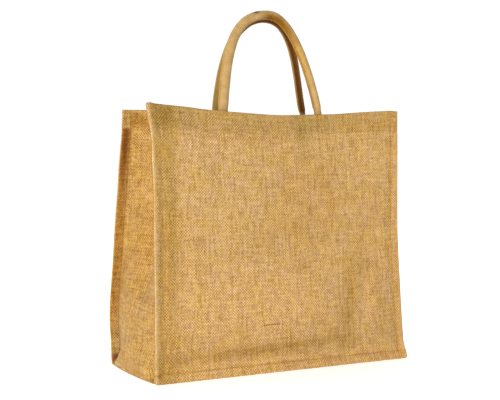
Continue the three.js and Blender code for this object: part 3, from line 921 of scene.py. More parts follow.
def side_steps(side):
    """Steps down one side and round its corner. out_x and out_z point to the flange's edge."""
    heights = grid_lines(
        FLANGE + SEAM_RADIUS, BAND_MOUTH, BAND_CELL, (GUSSET_HEM_LINE,), (), NEAR_EDGE
    )
    steps = [
        {"x": side * SEAM_X, "z": z, "out_x": side, "out_z": 0, "reach": FLANGE}
        for z in reversed(heights[1:])
    ]
    centre_x, centre_z = side * (SEAM_X - SEAM_RADIUS), FLANGE + SEAM_RADIUS
    for turn in evenly(0, math.pi / 2, CORNER_STEPS):
        out_x, out_z = side * math.cos(turn), -math.sin(turn)
        reach = flange_reach(side, centre_x, centre_z, out_x, out_z) - SEAM_RADIUS
        steps.append({
            "x": centre_x + SEAM_RADIUS * out_x, "z": centre_z + SEAM_RADIUS * out_z,
            "out_x": out_x, "out_z": out_z, "reach": reach,
        })
    return steps


def band_steps():
    base_x = grid_lines(-(SEAM_X - SEAM_RADIUS), SEAM_X - SEAM_RADIUS, 2 * BAND_CELL)[1:-1]
    base = [{"x": x, "z": FLANGE, "out_x": 0, "out_z": -1, "reach": FLANGE} for x in base_x]
    return side_steps(-1) + base + side_steps(1)[::-1]


band_run = band_steps()
print("the band is laid out in", len(band_run), "steps")

# %% The cloth between the seams


def field_out(step, share, span):
    """How far the cloth between the seams stands out from the seam line."""
    half = 1 - abs(2 * share - 1)
    over_floor = step["z"] + step["out_z"] * step["reach"]
    at_foot = 1 - smooth(over_floor, FOOT_LOW, FOOT_TOP)
    shoulder = mix(2 * BASE_SHOULDER, 1, min(over_floor / FOOT_RIDGE_FROM, 1))
    slack = max(0, BAND_HALF_SPAN**2 - (span / 2) ** 2)
    crease = math.hypot(LEAST_CREASE, math.sqrt(slack)) * (1 - at_foot)
    soft = math.hypot(2 * share - 1, CREASE_SOFTNESS) - CREASE_SOFTNESS
    below_hem = smooth(BAG_HEIGHT - GUSSET_HEM - step["z"], 0, BOW_FADE)
    bow = SIDE_BOW * math.sin(math.pi * half) * below_hem * (1 - at_foot)
    ridge = (step["reach"] - JUTE / 2) * smooth(half, 0, shoulder) * at_foot
    return ridge + (bow - crease * (1 - soft)) * min(half / SEAM_TURN, 1)


FLANGE_OUTS = [1, 0.985, 0.95, 0.89, 0.75, 0.55, 0.35, 0.15, 0]
FIELD_COLUMNS = 52
FIELD_SHARES = sorted(
    {round(0.5 - 0.5 * math.cos(math.pi * s), 4) for s in evenly(0, 1, FIELD_COLUMNS)} - {0.0, 1.0}
)
band_points = 2 * len(FLANGE_OUTS) + len(FIELD_SHARES)
print("each section has", band_points, "points")

# %% The band's section


def round_seam(out, y, front, back):
    """Rounds the bend where the cloth turns from a flange into the side."""
    seam, towards = (front, 1) if y < (front + back) / 2 else (back, -1)
    depth = towards * (y - seam)
    if out >= SEAM_ROUND or depth >= SEAM_ROUND:
        return out, y
    turn = math.pi / 4 * (1 + (depth if depth > 1e-6 else -max(out, 0)) / SEAM_ROUND)
    moved_out = SEAM_ROUND * (1 - math.sin(turn)) + min(out, 0)
    return moved_out, seam + towards * SEAM_ROUND * (1 - math.cos(turn))


def band_section(step):
    """The middle line of the band's cloth at a step: distances out, depths and thicknesses."""
    edge_depth = TURNED_EDGE + PIECE_GAP + BAND_EDGE / 2

    def depth_at(side, out):
        panel = PANELS[side]
        x, z = step["x"] + step["out_x"] * out, step["z"] + step["out_z"] * out
        return panel_face(panel, x, z).y + panel["to_back"] * edge_depth

    outs = [step["reach"] * share for share in FLANGE_OUTS]
    round_edge = BAND_EDGE / 2
    thicks = [BAND_EDGE - 2 * rounding(outs[0] - out, round_edge) for out in outs]
    line = [(out, depth_at("front", out), thick) for out, thick in zip(outs, thicks)]
    front, back = line[-1][1], depth_at("back", 0)
    for share in FIELD_SHARES:
        line.append((field_out(step, share, back - front), mix(front, back, share), JUTE))
    back_flange = [(out, depth_at("back", out), thick) for out, thick in zip(outs, thicks)]
    line += back_flange[::-1]
    return [(*round_seam(out, y, front, back), thick) for out, y, thick in line]


middle_section = band_section(band_run[len(band_run) // 2])
base_depth = middle_section[-1][1] - middle_section[0][1]
print("the section in the middle of the base is", round(base_depth, 1), "mm deep")

# %% The two faces of the band
MITRE_LIMIT = 0.35


def shifted(line, side):
    """The line moved by half its thickness to the outside, 1, or the inside, -1, of the bag."""
    def normal(a, b):
        length = math.hypot(b[0] - a[0], b[1] - a[1])
        return (b[1] - a[1]) / length, -(b[0] - a[0]) / length

    moved = []
    for i, (out, y, thick) in enumerate(line):
        shift = side * thick / 2
        if i == 0:
            moved.append((out, y + shift))
        elif i == len(line) - 1:
            moved.append((out, y - shift))
        else:
            first, second = normal(line[i - 1], line[i]), normal(line[i], line[i + 1])
            mitre = max(MITRE_LIMIT, 1 + first[0] * second[0] + first[1] * second[1])
            scale = shift / mitre
            moved.append((out + (first[0] + second[0]) * scale, y + (first[1] + second[1]) * scale))
    return moved


def shifted_by(line, shift):
    """A section moved by a share of its thickness and then by a distance."""
    share, distance = shift
    return shifted([(out, y, thick + 2 * distance / share) for out, y, thick in line], share)


def band_point(step, out, y):
    """Where a point of a section lies on the standing bag."""
    x, z = step["x"] + step["out_x"] * out, step["z"] + step["out_z"] * out
    front, back = panel_face(PANELS["front"], x, z), panel_face(PANELS["back"], x, z)
    share = clamp((y - front.y) / (back.y - front.y))
    at_end = smooth(abs(x), SEAM_X - FLANGE, HALF_WIDTH)
    bulge = FOOT_BULGE * math.sin(math.pi * share) * (1 - smooth(z, 0, FOOT_TOP)) * at_end
    sag = MOUTH_SAG * (max(0, -out) / BAND_HALF_SPAN) * (z / BAG_HEIGHT) ** RIM_FADE
    moved_x = mix(front.x, back.x, share) + math.copysign(bulge, x)
    return Vector((moved_x, y, mix(front.z, back.z, share) - sag))


crease = band_section(band_run[0])[band_points // 2]
crease_top = [round(value, 1) for value in band_point(band_run[0], *crease[:2])]
print("the left side is folded in to", crease_top, "at the mouth")

# %% The band's cloth
RUN_EVERY = 6
HEM_FLAP_IN = 2


def length_of(points):
    return sum((b - a).length for a, b in zip(points, points[1:]))


def band_slab(bm, steps, first, last, outer, inner):
    """A layer of the band over some of its steps and some of its section."""
    sections = []
    for step in steps:
        line = band_section(step)
        sections.append([
            [band_point(step, *point) for point in shifted_by(line, shift)[first:last]]
            for shift in (outer, inner)
        ])
    # The flat place of a step is how far the middle of the cloth has run to it
    flange = len(FLANGE_OUTS)
    field = range(flange - first, len(sections[0][0]) - (flange - first), RUN_EVERY)
    run = [0]
    for a, b in zip(sections, sections[1:]):
        run.append(run[-1] + sum((b[0][k] - a[0][k]).length for k in field) / len(field))
    middle = [Vector(point[:2]) for point in middle_section[first:last]]
    width = [length_of(middle[: k + 1]) for k in range(len(middle))]

    def at(i, j, layer):
        return place(sections[j][layer][i])

    add_slab(bm, width, run, at)


def band_hem(bm, ends):
    """The hem of one side: a flap inside the mouth, and the fold that joins it."""
    first = len(FLANGE_OUTS) + HEM_FLAP_IN
    last = band_points - first
    flap = [step for step in ends if step["z"] >= BAND_MOUTH - GUSSET_HEM]
    band_slab(bm, flap, first, last, (-1, -HEM_GAP), (-1, -HEM_GAP - JUTE))
    fold = [step for step in ends if step["z"] >= BAND_MOUTH - EDGE_ROUND]
    band_slab(bm, fold, first, last, (-1, FOLD_OVERLAP), (-1, -HEM_GAP - FOLD_OVERLAP))


bm = new_cloth()
band_slab(bm, band_run, 0, band_points, (1, 0), (-1, 0))
side_count = len(band_run) // 3
band_hem(bm, band_run[:side_count])
band_hem(bm, band_run[-side_count:])
band_cloth = finish_mesh(bm, "gusset_band_cloth", band_jute)
band_uv = [item.uv for item in band_cloth.data.uv_layers["cloth"].data]
BAND_WIDE = max(uv[0] for uv in band_uv) / MM
BAND_RUN = max(uv[1] for uv in band_uv) / MM
print("the band's cloth is", round(BAND_WIDE), "mm wide and runs", round(BAND_RUN), "mm")

# %% Oval places and tones of the band
# x is the place across the band from its front edge, z the run down from the left mouth
BAND_PATCHES = table(
    "x z angle long wide red green blue",
    (125, 117, 0, 30, 20, 1.05, 1.04, 1.14), (125, 158, 2, 45, 4, 0.86, 0.80, 0.66),
    (120, 200, 0, 50, 32, 0.98, 0.93, 0.80), (140, 84, 3, 30, 5, 0.90, 0.84, 0.70),
    (110, 1050, 0, 30, 22, 0.93, 0.90, 0.80), (90, 930, 4, 50, 20, 1.04, 1.03, 1.10),
    (134, 318, 88, 30, 3, 1.06, 1.05, 1.12),
)
# Painted shade in the groove beside each flange, below the hem
GROOVE_SHADE = (0.46, 0.27, 0.06)
# Painted shade on the flanges and the cloth beside them, where they lie recessed
RECESS_SHADE = (0.83, 0.70, 0.42)
BAND_HEM_TONE = (0.77, 0.66, 0.44)
BAND_TOP_TONE = (1.02, 1.04, 1.14)
HEM_FLANGE_TONE = (0.98, 1.02, 1.08)
# Painted light, brighter and cooler, on the back half of each foot
FOOT_BACK_LIGHT = (1.04, 1.17, 1.65)
# Painted shade on the front half of each foot
FOOT_FRONT_SHADE = (0.98, 0.98, 0.94)
# Painted shadow in the pocket at the back of each foot
POCKET_SHADOW = (0.34, 0.13, 0.02)
# Painted shadow along the floor under the front of each foot
EDGE_SHADE = (0.45, 0.38, 0.30)
print("the band has", len(BAND_PATCHES), "oval places")

# %% Where the band's tones lie
# Where these tones start or fade, from the first number to the second
RECESS_FADE = (4, FLANGE + 14)
RECESS_START = (45, 110)
# The painted highlight along the band's edges is weaker at the back edge
BAND_BEAD_FADE = (1.5, 3.5)
BACK_BEAD_SHARE = 0.4
BAND_HEM_START = (GUSSET_HEM_LINE - 5, GUSSET_HEM_LINE - 1)
BAND_TOP_START = (BAND_MOUTH - 8, BAND_MOUTH - 4)
FIELD_START = (FLANGE - 2, FLANGE + 4)
GROOVE_FADE = (25, 125)
FOOT_FADE = (40, 90)
FLOOR_START = (0, 2)
FOOT_FRONT_FADE = (0.3, 0.6)
FRONT_EDGE_FADE = (0.45, 0.6)

# The middle and the width of a narrow band of tone
HEM_LINE_PLACE, HEM_LINE_WIDTH = GUSSET_HEM_LINE + 7, 9
GROOVE_PLACE, GROOVE_TONE_WIDTH = 8, 6.5
FOOT_BACK_PLACE, FOOT_BACK_WIDTH = 0.86, 0.15
POCKET_UP, POCKET_IN, POCKET_WIDTH = 9, 8, 8
FRONT_EDGE_UP, FRONT_EDGE_WIDTH = 3, 1.6


def band_tone(across, run):
    height = max(0, BAND_MOUTH - min(run, BAND_RUN - run))
    from_edge = min(across, BAND_WIDE - across)
    to_back = (across - FLANGE) / (BAND_WIDE - 2 * FLANGE)
    in_recess = (1 - smooth(from_edge, *RECESS_FADE)) * smooth(height, *RECESS_START)
    bead = 1 - smooth(from_edge, *BAND_BEAD_FADE)
    bead *= 1 if across < BAND_WIDE / 2 else BACK_BEAD_SHARE
    hem = smooth(height, *BAND_HEM_START)
    in_field = smooth(from_edge, *FIELD_START)
    hem_line = bell(height - HEM_LINE_PLACE, HEM_LINE_WIDTH)
    groove = (1 - hem) * (1 - smooth(GUSSET_HEM_LINE - height, *GROOVE_FADE))
    groove *= bell(from_edge - GROOVE_PLACE, GROOVE_TONE_WIDTH)
    foot = (1 - smooth(height, *FOOT_FADE)) * smooth(height, *FLOOR_START)
    pocket = bell(height - POCKET_UP, POCKET_WIDTH)
    pocket *= bell(BAND_WIDE - across - POCKET_IN, POCKET_WIDTH)
    front_edge = bell(height - FRONT_EDGE_UP, FRONT_EDGE_WIDTH)
    front_edge *= 1 - smooth(to_back, *FRONT_EDGE_FADE)
    return times(
        patch_tone(BAND_PATCHES, across, run),
        towards_tone(RECESS_SHADE, in_recess * (1 - hem)),
        towards_tone(HEM_FLANGE_TONE, in_recess * hem),
        towards_tone(BAND_HEM_TONE, hem * in_field * hem_line),
        towards_tone(BAND_TOP_TONE, hem * smooth(height, *BAND_TOP_START)),
        towards_tone(GROOVE_SHADE, groove),
        towards_tone(BEAD_HIGHLIGHT, bead),
        towards_tone(FOOT_BACK_LIGHT, foot * bell(to_back - FOOT_BACK_PLACE, FOOT_BACK_WIDTH)),
        towards_tone(FOOT_FRONT_SHADE, foot * (1 - smooth(to_back, *FOOT_FRONT_FADE))),
        towards_tone(POCKET_SHADOW, pocket),
        towards_tone(EDGE_SHADE, front_edge),
    )


in_pocket = band_tone(BAND_WIDE - POCKET_IN, BAND_MOUTH - POCKET_UP)
print("the tone in the pocket at the foot is", [round(value, 2) for value in in_pocket])

# %% Finish the band
paint_shade(band_cloth, band_tone)
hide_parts("gusset_band")

# %% [markdown]
# ## The cotton of the handles
# The handles are covered with a smooth, close cotton in nearly the colour of the jute. Its yarns
# are too fine to show, so a cloudy tone and a fine, shallow relief are enough. A little sheen
# stands for the short fibres that stand off such cloth.

# %% Cotton
COTTON_LIGHT = (0.45, 0.292, 0.113, 1)
COTTON_DARK = (0.37, 0.225, 0.078, 1)
CLOUD_SCALE = 60.0
FINE_SCALE = 900.0
FINE_TONE = 0.35
COTTON_RELIEF = 0.0003


def cotton_cloth(name, light, dark):
    n = Nodes(name)
    flat = n.cloth_place()
    cloud = n.noise(flat, CLOUD_SCALE, 3.0)
    fine = n.noise(flat, FINE_SCALE, 3.0, 0.7)
    tone = n.math("MULTIPLY_ADD", fine, FINE_TONE, cloud)
    n.surface(
        Base_Color=n.painted(n.mix(n.ramp(tone, 0.4, 0.95), dark, light)), Roughness=0.85,
        Specular_IOR_Level=0.14, Sheen_Weight=0.02, Sheen_Roughness=0.5,
        Normal=n.bump(fine, COTTON_RELIEF, 0.6),
    )
    return n.material


handle_cotton = cotton_cloth("tan_cotton", COTTON_LIGHT, COTTON_DARK)
print(handle_cotton.name, "has", len(handle_cotton.node_tree.nodes), "nodes")

# %% [markdown]
# ## The stuffed handles
# Each handle is a tube of cotton, filled hard and round along its arch, and pressed flat where it
# is sewn behind the hem. A curve with a round bevel would be the quick way, but its section can't
# turn from flat to round, nor its legs differ in width. So a long cylinder is cut into rings, and
# each ring is moved to its section along the arch.

# %% Values of the handles
# The section at the crown and at the tab, and how it turns from one into the other
CROWN_THICKNESS = 13.1
HANDLE_DEPTH = 13.6
ROUND_FROM = 0.35
TAB_WIDTH = 22
TAB_THICKNESS = 3.4
TAB_LENGTH = 28
SWELL_LENGTH = 14
FOOT_SHARE_OF_LEAN = 0.35
HANDLE_SIDES = 48
NARROW_FROM = -16
NARROW_TO = 5
# The ridge of the tube's own seam, and how uneven the stuffing is
SEAM_RIDGE = 0.1
SEAM_RIDGE_TURN = 0.12
HANDLE_UNEVEN = 0.03
HANDLE_RUN = 600
HANDLE_GIRTH = math.pi * CROWN_THICKNESS
ARCH_STEPS = 70
TAB_STEPS = 6
print("a handle is", round(HANDLE_GIRTH, 1), "mm round")

# %% The arch of each handle
# foot is where a leg meets the rim. From there the arch sets out towards a point that is drift
# across and rise up, and it comes to the crown from a point that is reach across from it. width is
# how wide the leg is at the rim
HANDLES = {
    "front": {
        "crown": Vector((-8.4, -34.3, 517.3)),
        "left": {"foot": -88, "rise": 67.4, "drift": 9.9, "reach": -68.3, "width": 15.3},
        "right": {"foot": 73.8, "rise": 69.9, "drift": -12.8, "reach": 36.9, "width": 12},
    },
    "back": {
        "crown": Vector((-6.4, -19.7, 514.8)),
        "left": {"foot": -75.3, "rise": 114.3, "drift": 5.9, "reach": -35.2, "width": 12.4},
        "right": {"foot": 82.4, "rise": 45.1, "drift": -20.2, "reach": 56.3, "width": 9.8},
    },
}
for side, handle in HANDLES.items():
    print("the crown of the", side, "handle is", round(handle["crown"].z, 1), "mm up")

# %% Points along an arch


def on_hem(panel, x, z, distance):
    """A point inside the bag, at a distance from the face of a panel's hem."""
    face = panel_face(panel, x, z)
    face.y += panel["to_back"] * (2 * JUTE + HEM_GAP + PIECE_GAP + distance)
    return face


def arch_points(a, b, c, d, steps):
    """Evenly spaced points and directions along a cubic curve, and its length."""
    fine = 400
    points = [
        a * (1 - t) ** 3 + b * 3 * t * (1 - t) ** 2 + c * 3 * t * t * (1 - t) + d * t**3
        for t in evenly(0, 1, fine)
    ]
    lengths = [0]
    for p, q in zip(points, points[1:]):
        lengths.append(lengths[-1] + (q - p).length)
    result = []
    for share in evenly(0, 1, steps):
        target = share * lengths[-1]
        k = min(next(i for i, value in enumerate(lengths) if value >= target - 1e-9), fine)
        k = max(k, 1)
        t = (target - lengths[k - 1]) / (lengths[k] - lengths[k - 1])
        low, high = max(k - 2, 0), min(k + 1, fine)
        direction = (points[high] - points[low]).normalized()
        result.append((points[k - 1].lerp(points[k], t), direction, share))
    return result, lengths[-1]


# %% The sections of a handle


def flat_width(above_rim, leg_width):
    """The flattened handle narrows from the tab behind the hem to the leg above it."""
    return mix(TAB_WIDTH, leg_width, smooth(above_rim, NARROW_FROM, NARROW_TO))


def leg_sections(panel, crown, leg):
    """Sections from the end of one tab up to the crown. Each turns w and t, from -1 to 1, into a
    point of its outline."""
    foot = on_hem(panel, leg["foot"], BAG_HEIGHT, TAB_THICKNESS / 2)
    lean = mix(foot.y, crown.y, FOOT_SHARE_OF_LEAN)
    rise = Vector((foot.x + leg["drift"], lean, foot.z + leg["rise"]))
    reach = Vector((crown.x + leg["reach"], crown.y, crown.z))
    points, length = arch_points(foot, rise, reach, crown, ARCH_STEPS)
    rim_slope = panel_face(panel, leg["foot"] + 1, BAG_HEIGHT).y
    rim_slope -= panel_face(panel, leg["foot"], BAG_HEIGHT).y
    sections = []
    for z in evenly(BAG_HEIGHT - TAB_LENGTH, BAG_HEIGHT, TAB_STEPS)[:-1]:
        def tab(w, t, z=z):
            distance = TAB_THICKNESS / 2 * (1 + panel["to_back"] * t)
            half = flat_width(z - BAG_HEIGHT, leg["width"]) / 2
            return on_hem(panel, leg["foot"] + w * half, z, distance)
        sections.append(tab)
    for centre, up, share in points:
        wide = Vector((0, 1, 0)).cross(up).normalized()
        thick = up.cross(wide)
        full_round = smooth(length * share, 0, SWELL_LENGTH)
        width = mix(leg["width"], CROWN_THICKNESS, smooth(share, ROUND_FROM, 1))
        flat = flat_width(length * share, leg["width"])

        def tube(w, t, c=centre, a=wide, b=thick, r=full_round, width=width, flat=flat):
            pressed = c + Vector((w * flat / 2, (w * flat * rim_slope + t * TAB_THICKNESS) / 2, 0))
            return pressed.lerp(c + a * (w * width / 2) + b * (t * HANDLE_DEPTH / 2), r)
        sections.append(tube)
    return sections


left_leg = leg_sections(PANELS["front"], HANDLES["front"]["crown"], HANDLES["front"]["left"])
print("a leg has", len(left_leg), "sections from its tab to the crown")

# %% Tones of the handles
# Painted shade on the back handle's side towards the front one: its left leg, and its right leg's
# edges and middle
RIGHT_LEG_SHADE = (0.20, 0.10, 0.012)
RIGHT_LEG_MIDDLE_SHADE = (0.50, 0.36, 0.10)
LEFT_LEG_SHADE = (0.66, 0.60, 0.32)
# Painted shade on the rolled inner and outer edges of the legs
INNER_EDGE_SHADE = (0.66, 0.56, 0.38)
OUTER_EDGE_SHADE = (0.85, 0.84, 0.80)
# Painted shade on the underside of each crown
CROWN_SHADE = (0.42, 0.28, 0.035)
WARM_LEG_TONE = (1.04, 0.97, 0.62)
# Painted highlight, cooler, on the top of each crown
TOP_TONE = (0.95, 1.04, 1.20)
# Painted highlight on the tube's seam ridge, over the painted shade round it
RIDGE_HIGHLIGHT = (1.0, 0.86, 0.62)
# Painted shadow in the notch at the top of the front handle's crown
NOTCH_SHADOW = (0.05, 0.04, 0.01)
print("the darkest leg keeps", round(100 * RIGHT_LEG_SHADE[0]), "% of its red")

# %% Where the tones of a handle lie
# Along the handle, as shares of its length from the left tab: where a tone starts or fades
TAB_FADE = (0.045, 0.07)
DARK_START = (0.3, 0.5)
CROWN_START = (0.44, 0.5)
CROWN_FADE = (0.56, 0.72)
WARM_START = (0.5, 0.56)
WARM_FADE = (0.7, 0.9)
SPOT_PLACE, SPOT_LENGTH = 0.447, 0.010
TOP_PLACE, TOP_LENGTH = 0.46, 0.09
LEG_FADE = 0.2

# Round the handle, as the cosine or sine of the turn from its inner side
OTHER_START = (-0.1, 0.5)
LIT_PLACE, LIT_WIDTH = -0.15, 0.32
SPOT_SIDE, SPOT_WIDTH = -0.85, 0.35
INNER_START = (0.72, 1)
OUTER_START = (0.7, 1)
TOP_START = (0.5, 0.95)
CROWN_SIDE = (-0.75, 0.6)
WARM_SIDE = (-0.4, 0.7)
RIDGE_SHARE = 0.8


def handle_tone(side):
    """The tone round a handle. The back one's side towards the front is painted shade."""
    def tone(around, run):
        turn, share = around / HANDLE_GIRTH * math.tau, run / HANDLE_RUN
        inwards, backwards = math.cos(turn), math.sin(turn)
        # The back handle's side towards the front one is painted in shade
        to_other = smooth(-backwards, *OTHER_START) * (side == "back")
        to_other *= smooth(min(share, 1 - share), *TAB_FADE)
        lit = bell(inwards - LIT_PLACE, LIT_WIDTH)
        dark = [mix(a, b, lit) for a, b in zip(RIGHT_LEG_SHADE, RIGHT_LEG_MIDDLE_SHADE)]
        in_dark = smooth(share, *DARK_START)
        shaded = [mix(a, b, in_dark) for a, b in zip(LEFT_LEG_SHADE, dark)]
        crown = smooth(share, *CROWN_START) * (1 - smooth(share, *CROWN_FADE))
        warm = smooth(share, *WARM_START) * (1 - smooth(share, *WARM_FADE))
        spot = bell(share - SPOT_PLACE, SPOT_LENGTH) * bell(inwards - SPOT_SIDE, SPOT_WIDTH)
        leg = 1 - bell(share - 0.5, LEG_FADE)
        top = smooth(-inwards, *TOP_START) * bell(share - TOP_PLACE, TOP_LENGTH)
        own = 1 - to_other
        result = times(
            towards_tone(shaded, to_other),
            towards_tone(INNER_EDGE_SHADE, smooth(inwards, *INNER_START) * (1 - crown) * own),
            towards_tone(CROWN_SHADE, crown * smooth(inwards, *CROWN_SIDE) * own),
            towards_tone(WARM_LEG_TONE, warm * smooth(inwards, *WARM_SIDE) * own),
            towards_tone(OUTER_EDGE_SHADE, leg * smooth(-inwards, *OUTER_START)),
            towards_tone(TOP_TONE, top),
            towards_tone(NOTCH_SHADOW, spot * (side == "front")),
        )
        ridge = bell(math.remainder(turn, math.tau), SEAM_RIDGE_TURN)
        return [mix(a, b, RIDGE_SHARE * ridge) for a, b in zip(result, RIDGE_HIGHLIGHT)]
    return tone


crown_tone = handle_tone("front")(0, HANDLE_RUN / 2)
print("the tone under the front handle's crown is", [round(value, 2) for value in crown_tone])

# %% Both handles
RING_NOISE = 25


def make_handle(side):
    panel, handle = PANELS[side], HANDLES[side]
    left = leg_sections(panel, handle["crown"], handle["left"])
    right = leg_sections(panel, handle["crown"], handle["right"])[:-1]
    sections = left + [lambda w, t, s=s: s(-w, t) for s in reversed(right)]
    bm = new_cloth()
    rings = len(sections) - 1
    bmesh.ops.create_cone(
        bm, cap_ends=True, cap_tris=False, segments=HANDLE_SIDES, radius1=1, radius2=1, depth=1
    )
    lengthwise = [edge for edge in bm.edges if abs(edge.verts[0].co.z - edge.verts[1].co.z) > 0.5]
    bmesh.ops.subdivide_edges(bm, edges=lengthwise, cuts=rings - 1, use_grid_fill=True)
    uv = bm.loops.layers.uv["cloth"]
    for face in bm.faces:
        middle = face.calc_center_median()
        about = math.atan2(middle.y, middle.x)
        for loop in face.loops:
            co = loop.vert.co
            turn = math.remainder(math.atan2(co.y, co.x) - about, math.tau) + about
            loop[uv].uv = (turn / math.tau * HANDLE_GIRTH * MM, (co.z + 0.5) * HANDLE_RUN * MM)
    for v in bm.verts:
        section = sections[round((v.co.z + 0.5) * rings)]
        bump = noise.noise(Vector((v.co.x, v.co.y, RING_NOISE * v.co.z + len(side))))
        full = 1 + HANDLE_UNEVEN * bump
        full += SEAM_RIDGE * bell(math.atan2(v.co.y, v.co.x), SEAM_RIDGE_TURN)
        v.co = place(section(v.co.x * full, v.co.y * full))
    piece = finish_mesh(bm, side + "_handle_tube", handle_cotton)
    paint_shade(piece, handle_tone(side))
    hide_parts("handle_" + side)


for side in HANDLES:
    make_handle(side)

# %% [markdown]
# ## Stitches
# The bag is sewn with brown thread, in stitches of about 4 mm: round each flange, along each hem,
# and in a crossed box on each handle's tab. One stitch is a small, long bead half sunk in the
# cloth. Beads placed along the sewing line follow the cloth's folds, which a texture wouldn't.

# %% One stitch, and a row of them
STITCH_PITCH = 4.4
STITCH_LENGTH = 3.6
STITCH_WIDTH = 0.95
STITCH_HEIGHT = 0.8

# One bead is the pattern for every stitch
bm = bmesh.new()
bmesh.ops.create_uvsphere(bm, u_segments=6, v_segments=4, radius=0.5)
bead_shape = bpy.data.meshes.new("bead_shape")
bm.to_mesh(bead_shape)
bm.free()
print("a bead has", len(bead_shape.polygons), "faces")


def add_bead(bm, middle, along, outward, length, width=STITCH_WIDTH, height=STITCH_HEIGHT):
    side = outward.cross(along).normalized()
    turn = Matrix((side * width, along.cross(side) * height, along * length))
    turn = (turn.transposed() * MM).to_4x4()
    turn.translation = middle
    shape = bead_shape.copy()
    shape.transform(turn)
    bm.from_mesh(shape)
    bpy.data.meshes.remove(shape)


def stitch_row(bm, path, outward, pitch=STITCH_PITCH):
    """Stitches along a path of close points. outward is the side of the cloth that they lie on."""
    lengths = [0]
    for a, b in zip(path, path[1:]):
        lengths.append(lengths[-1] + (b - a).length)
    count = max(1, int(lengths[-1] / (pitch * MM)))
    k = 1
    for number in range(count):
        target = (number + 0.5) / count * lengths[-1]
        while lengths[k] < target:
            k += 1
        low, high = path[k - 1], path[k]
        share = (target - lengths[k - 1]) / (lengths[k] - lengths[k - 1])
        along = (high - low).normalized()
        out = outward(along) if callable(outward) else outward
        add_bead(bm, low.lerp(high, share), along, out, STITCH_LENGTH)


# %% The line round a flange
SIDE_POINTS = 180
BASE_POINTS = 90


def panel_spot(side, x, z, depth):
    """A point of a panel at a depth from its outer face."""
    panel = PANELS[side]
    face = panel_face(panel, *round_corner(x, z))
    face.y += panel["to_back"] * (depth - panel_relief(side, x, z))
    return place(face)


def seam_path():
    """The line of stitches round a flange, in the flat cloth."""
    left = [(-SEAM_X, z) for z in evenly(BAG_HEIGHT - 1, FLANGE + SEAM_RADIUS, SIDE_POINTS)]
    corner = [
        (-SEAM_X + SEAM_RADIUS * (1 - math.cos(turn)), FLANGE + SEAM_RADIUS * (1 - math.sin(turn)))
        for turn in evenly(0, math.pi / 2, CORNER_STEPS)
    ][1:]
    base = [(x, FLANGE) for x in evenly(-SEAM_X + SEAM_RADIUS, 0, BASE_POINTS)][1:]
    half = left + corner + base
    return half + [(-x, z) for x, z in half[-2::-1]]


flange_line = seam_path()
print("the line round a flange has", len(flange_line), "points")

# %% Where the rows run
BAR_TACK = 5.5
BAR_TACK_DROPS = (1.6, 2.8, 4)
HEM_POINTS = 260
TAB_BOX_IN = 4
TAB_STITCH_DEPTH = 0.97 * TAB_THICKNESS
HEM_ROW_IN = 3


def flange_rows(bm, side):
    """A row round the flange, one behind each side of it, and bar tacks at the mouth."""
    to_back = PANELS[side]["to_back"]
    outside, inside = Vector((0, -to_back, 0)), Vector((0, to_back, 0))
    stitch_row(bm, [panel_spot(side, x, z, 0) for x, z in flange_line], outside)
    behind = TURNED_EDGE + PIECE_GAP + BAND_EDGE
    for edge in (-1, 1):
        x = edge * (SEAM_X + SEAM_ROUND)
        line = []
        for z in evenly(BAND_MOUTH - 2, FLANGE + SEAM_RADIUS, SIDE_POINTS):
            face = panel_face(PANELS[side], x, z)
            line.append(place(face + Vector((0, to_back * behind, 0))))
        stitch_row(bm, line, inside)
        for drop in BAR_TACK_DROPS:
            middle = panel_spot(side, edge * SEAM_X, BAG_HEIGHT - drop, 0)
            add_bead(bm, middle, Vector((1, 0, 0)), outside, BAR_TACK)


def hem_rows(bm, side):
    """The row along a panel's hem, on the outer face and on the inner one."""
    to_back = PANELS[side]["to_back"]
    outside, inside = Vector((0, -to_back, 0)), Vector((0, to_back, 0))
    for reach, depth, out in ((SEAM_X - 2, 0, outside), (HEM_END - 1, HEM_INNER, inside)):
        path = [panel_spot(side, x, HEM_LINE, depth) for x in evenly(-reach, reach, HEM_POINTS)]
        stitch_row(bm, path, out)


def gusset_hem_rows(bm):
    """The rows along the band's two hems, on the outer face and on the inner one."""
    for edge in (-1, 1):
        step = {
            "x": edge * SEAM_X, "z": GUSSET_HEM_LINE, "out_x": edge, "out_z": 0, "reach": FLANGE,
        }
        ends = len(FLANGE_OUTS) + HEM_ROW_IN
        for shift, facing in (((1, 0), edge), ((-1, -HEM_GAP - JUTE), -edge)):
            line = shifted_by(band_section(step), shift)[ends:-ends]
            path = [place(band_point(step, *point)) for point in line]
            stitch_row(bm, path, lambda along, facing=facing: along.cross(Vector((0, 0, facing))))


def tab_rows(bm, side):
    """A box with a cross in it on each tab."""
    panel = PANELS[side]
    inside = Vector((0, panel["to_back"], 0))
    low, high = BAG_HEIGHT - TAB_LENGTH + TAB_BOX_IN, BAG_HEIGHT - 2 * TAB_BOX_IN
    half = TAB_WIDTH / 2 - TAB_BOX_IN
    for leg in ("left", "right"):
        foot = HANDLES[side][leg]["foot"]
        corners = [(-half, low), (half, low), (half, high), (-half, high)]
        lines = list(zip(corners, corners[1:] + corners[:1])) + [corners[::2], corners[1::2]]
        for (x0, z0), (x1, z1) in lines:
            path = [
                place(on_hem(panel, foot + mix(x0, x1, t), mix(z0, z1, t), TAB_STITCH_DEPTH))
                for t in evenly(0, 1, 8)
            ]
            stitch_row(bm, path, inside)


# %% Thread
THREAD_LIGHT = (0.42, 0.25, 0.09, 1)
THREAD_DARK = (0.24, 0.13, 0.04, 1)
THREAD_RELIEF = 0.0002


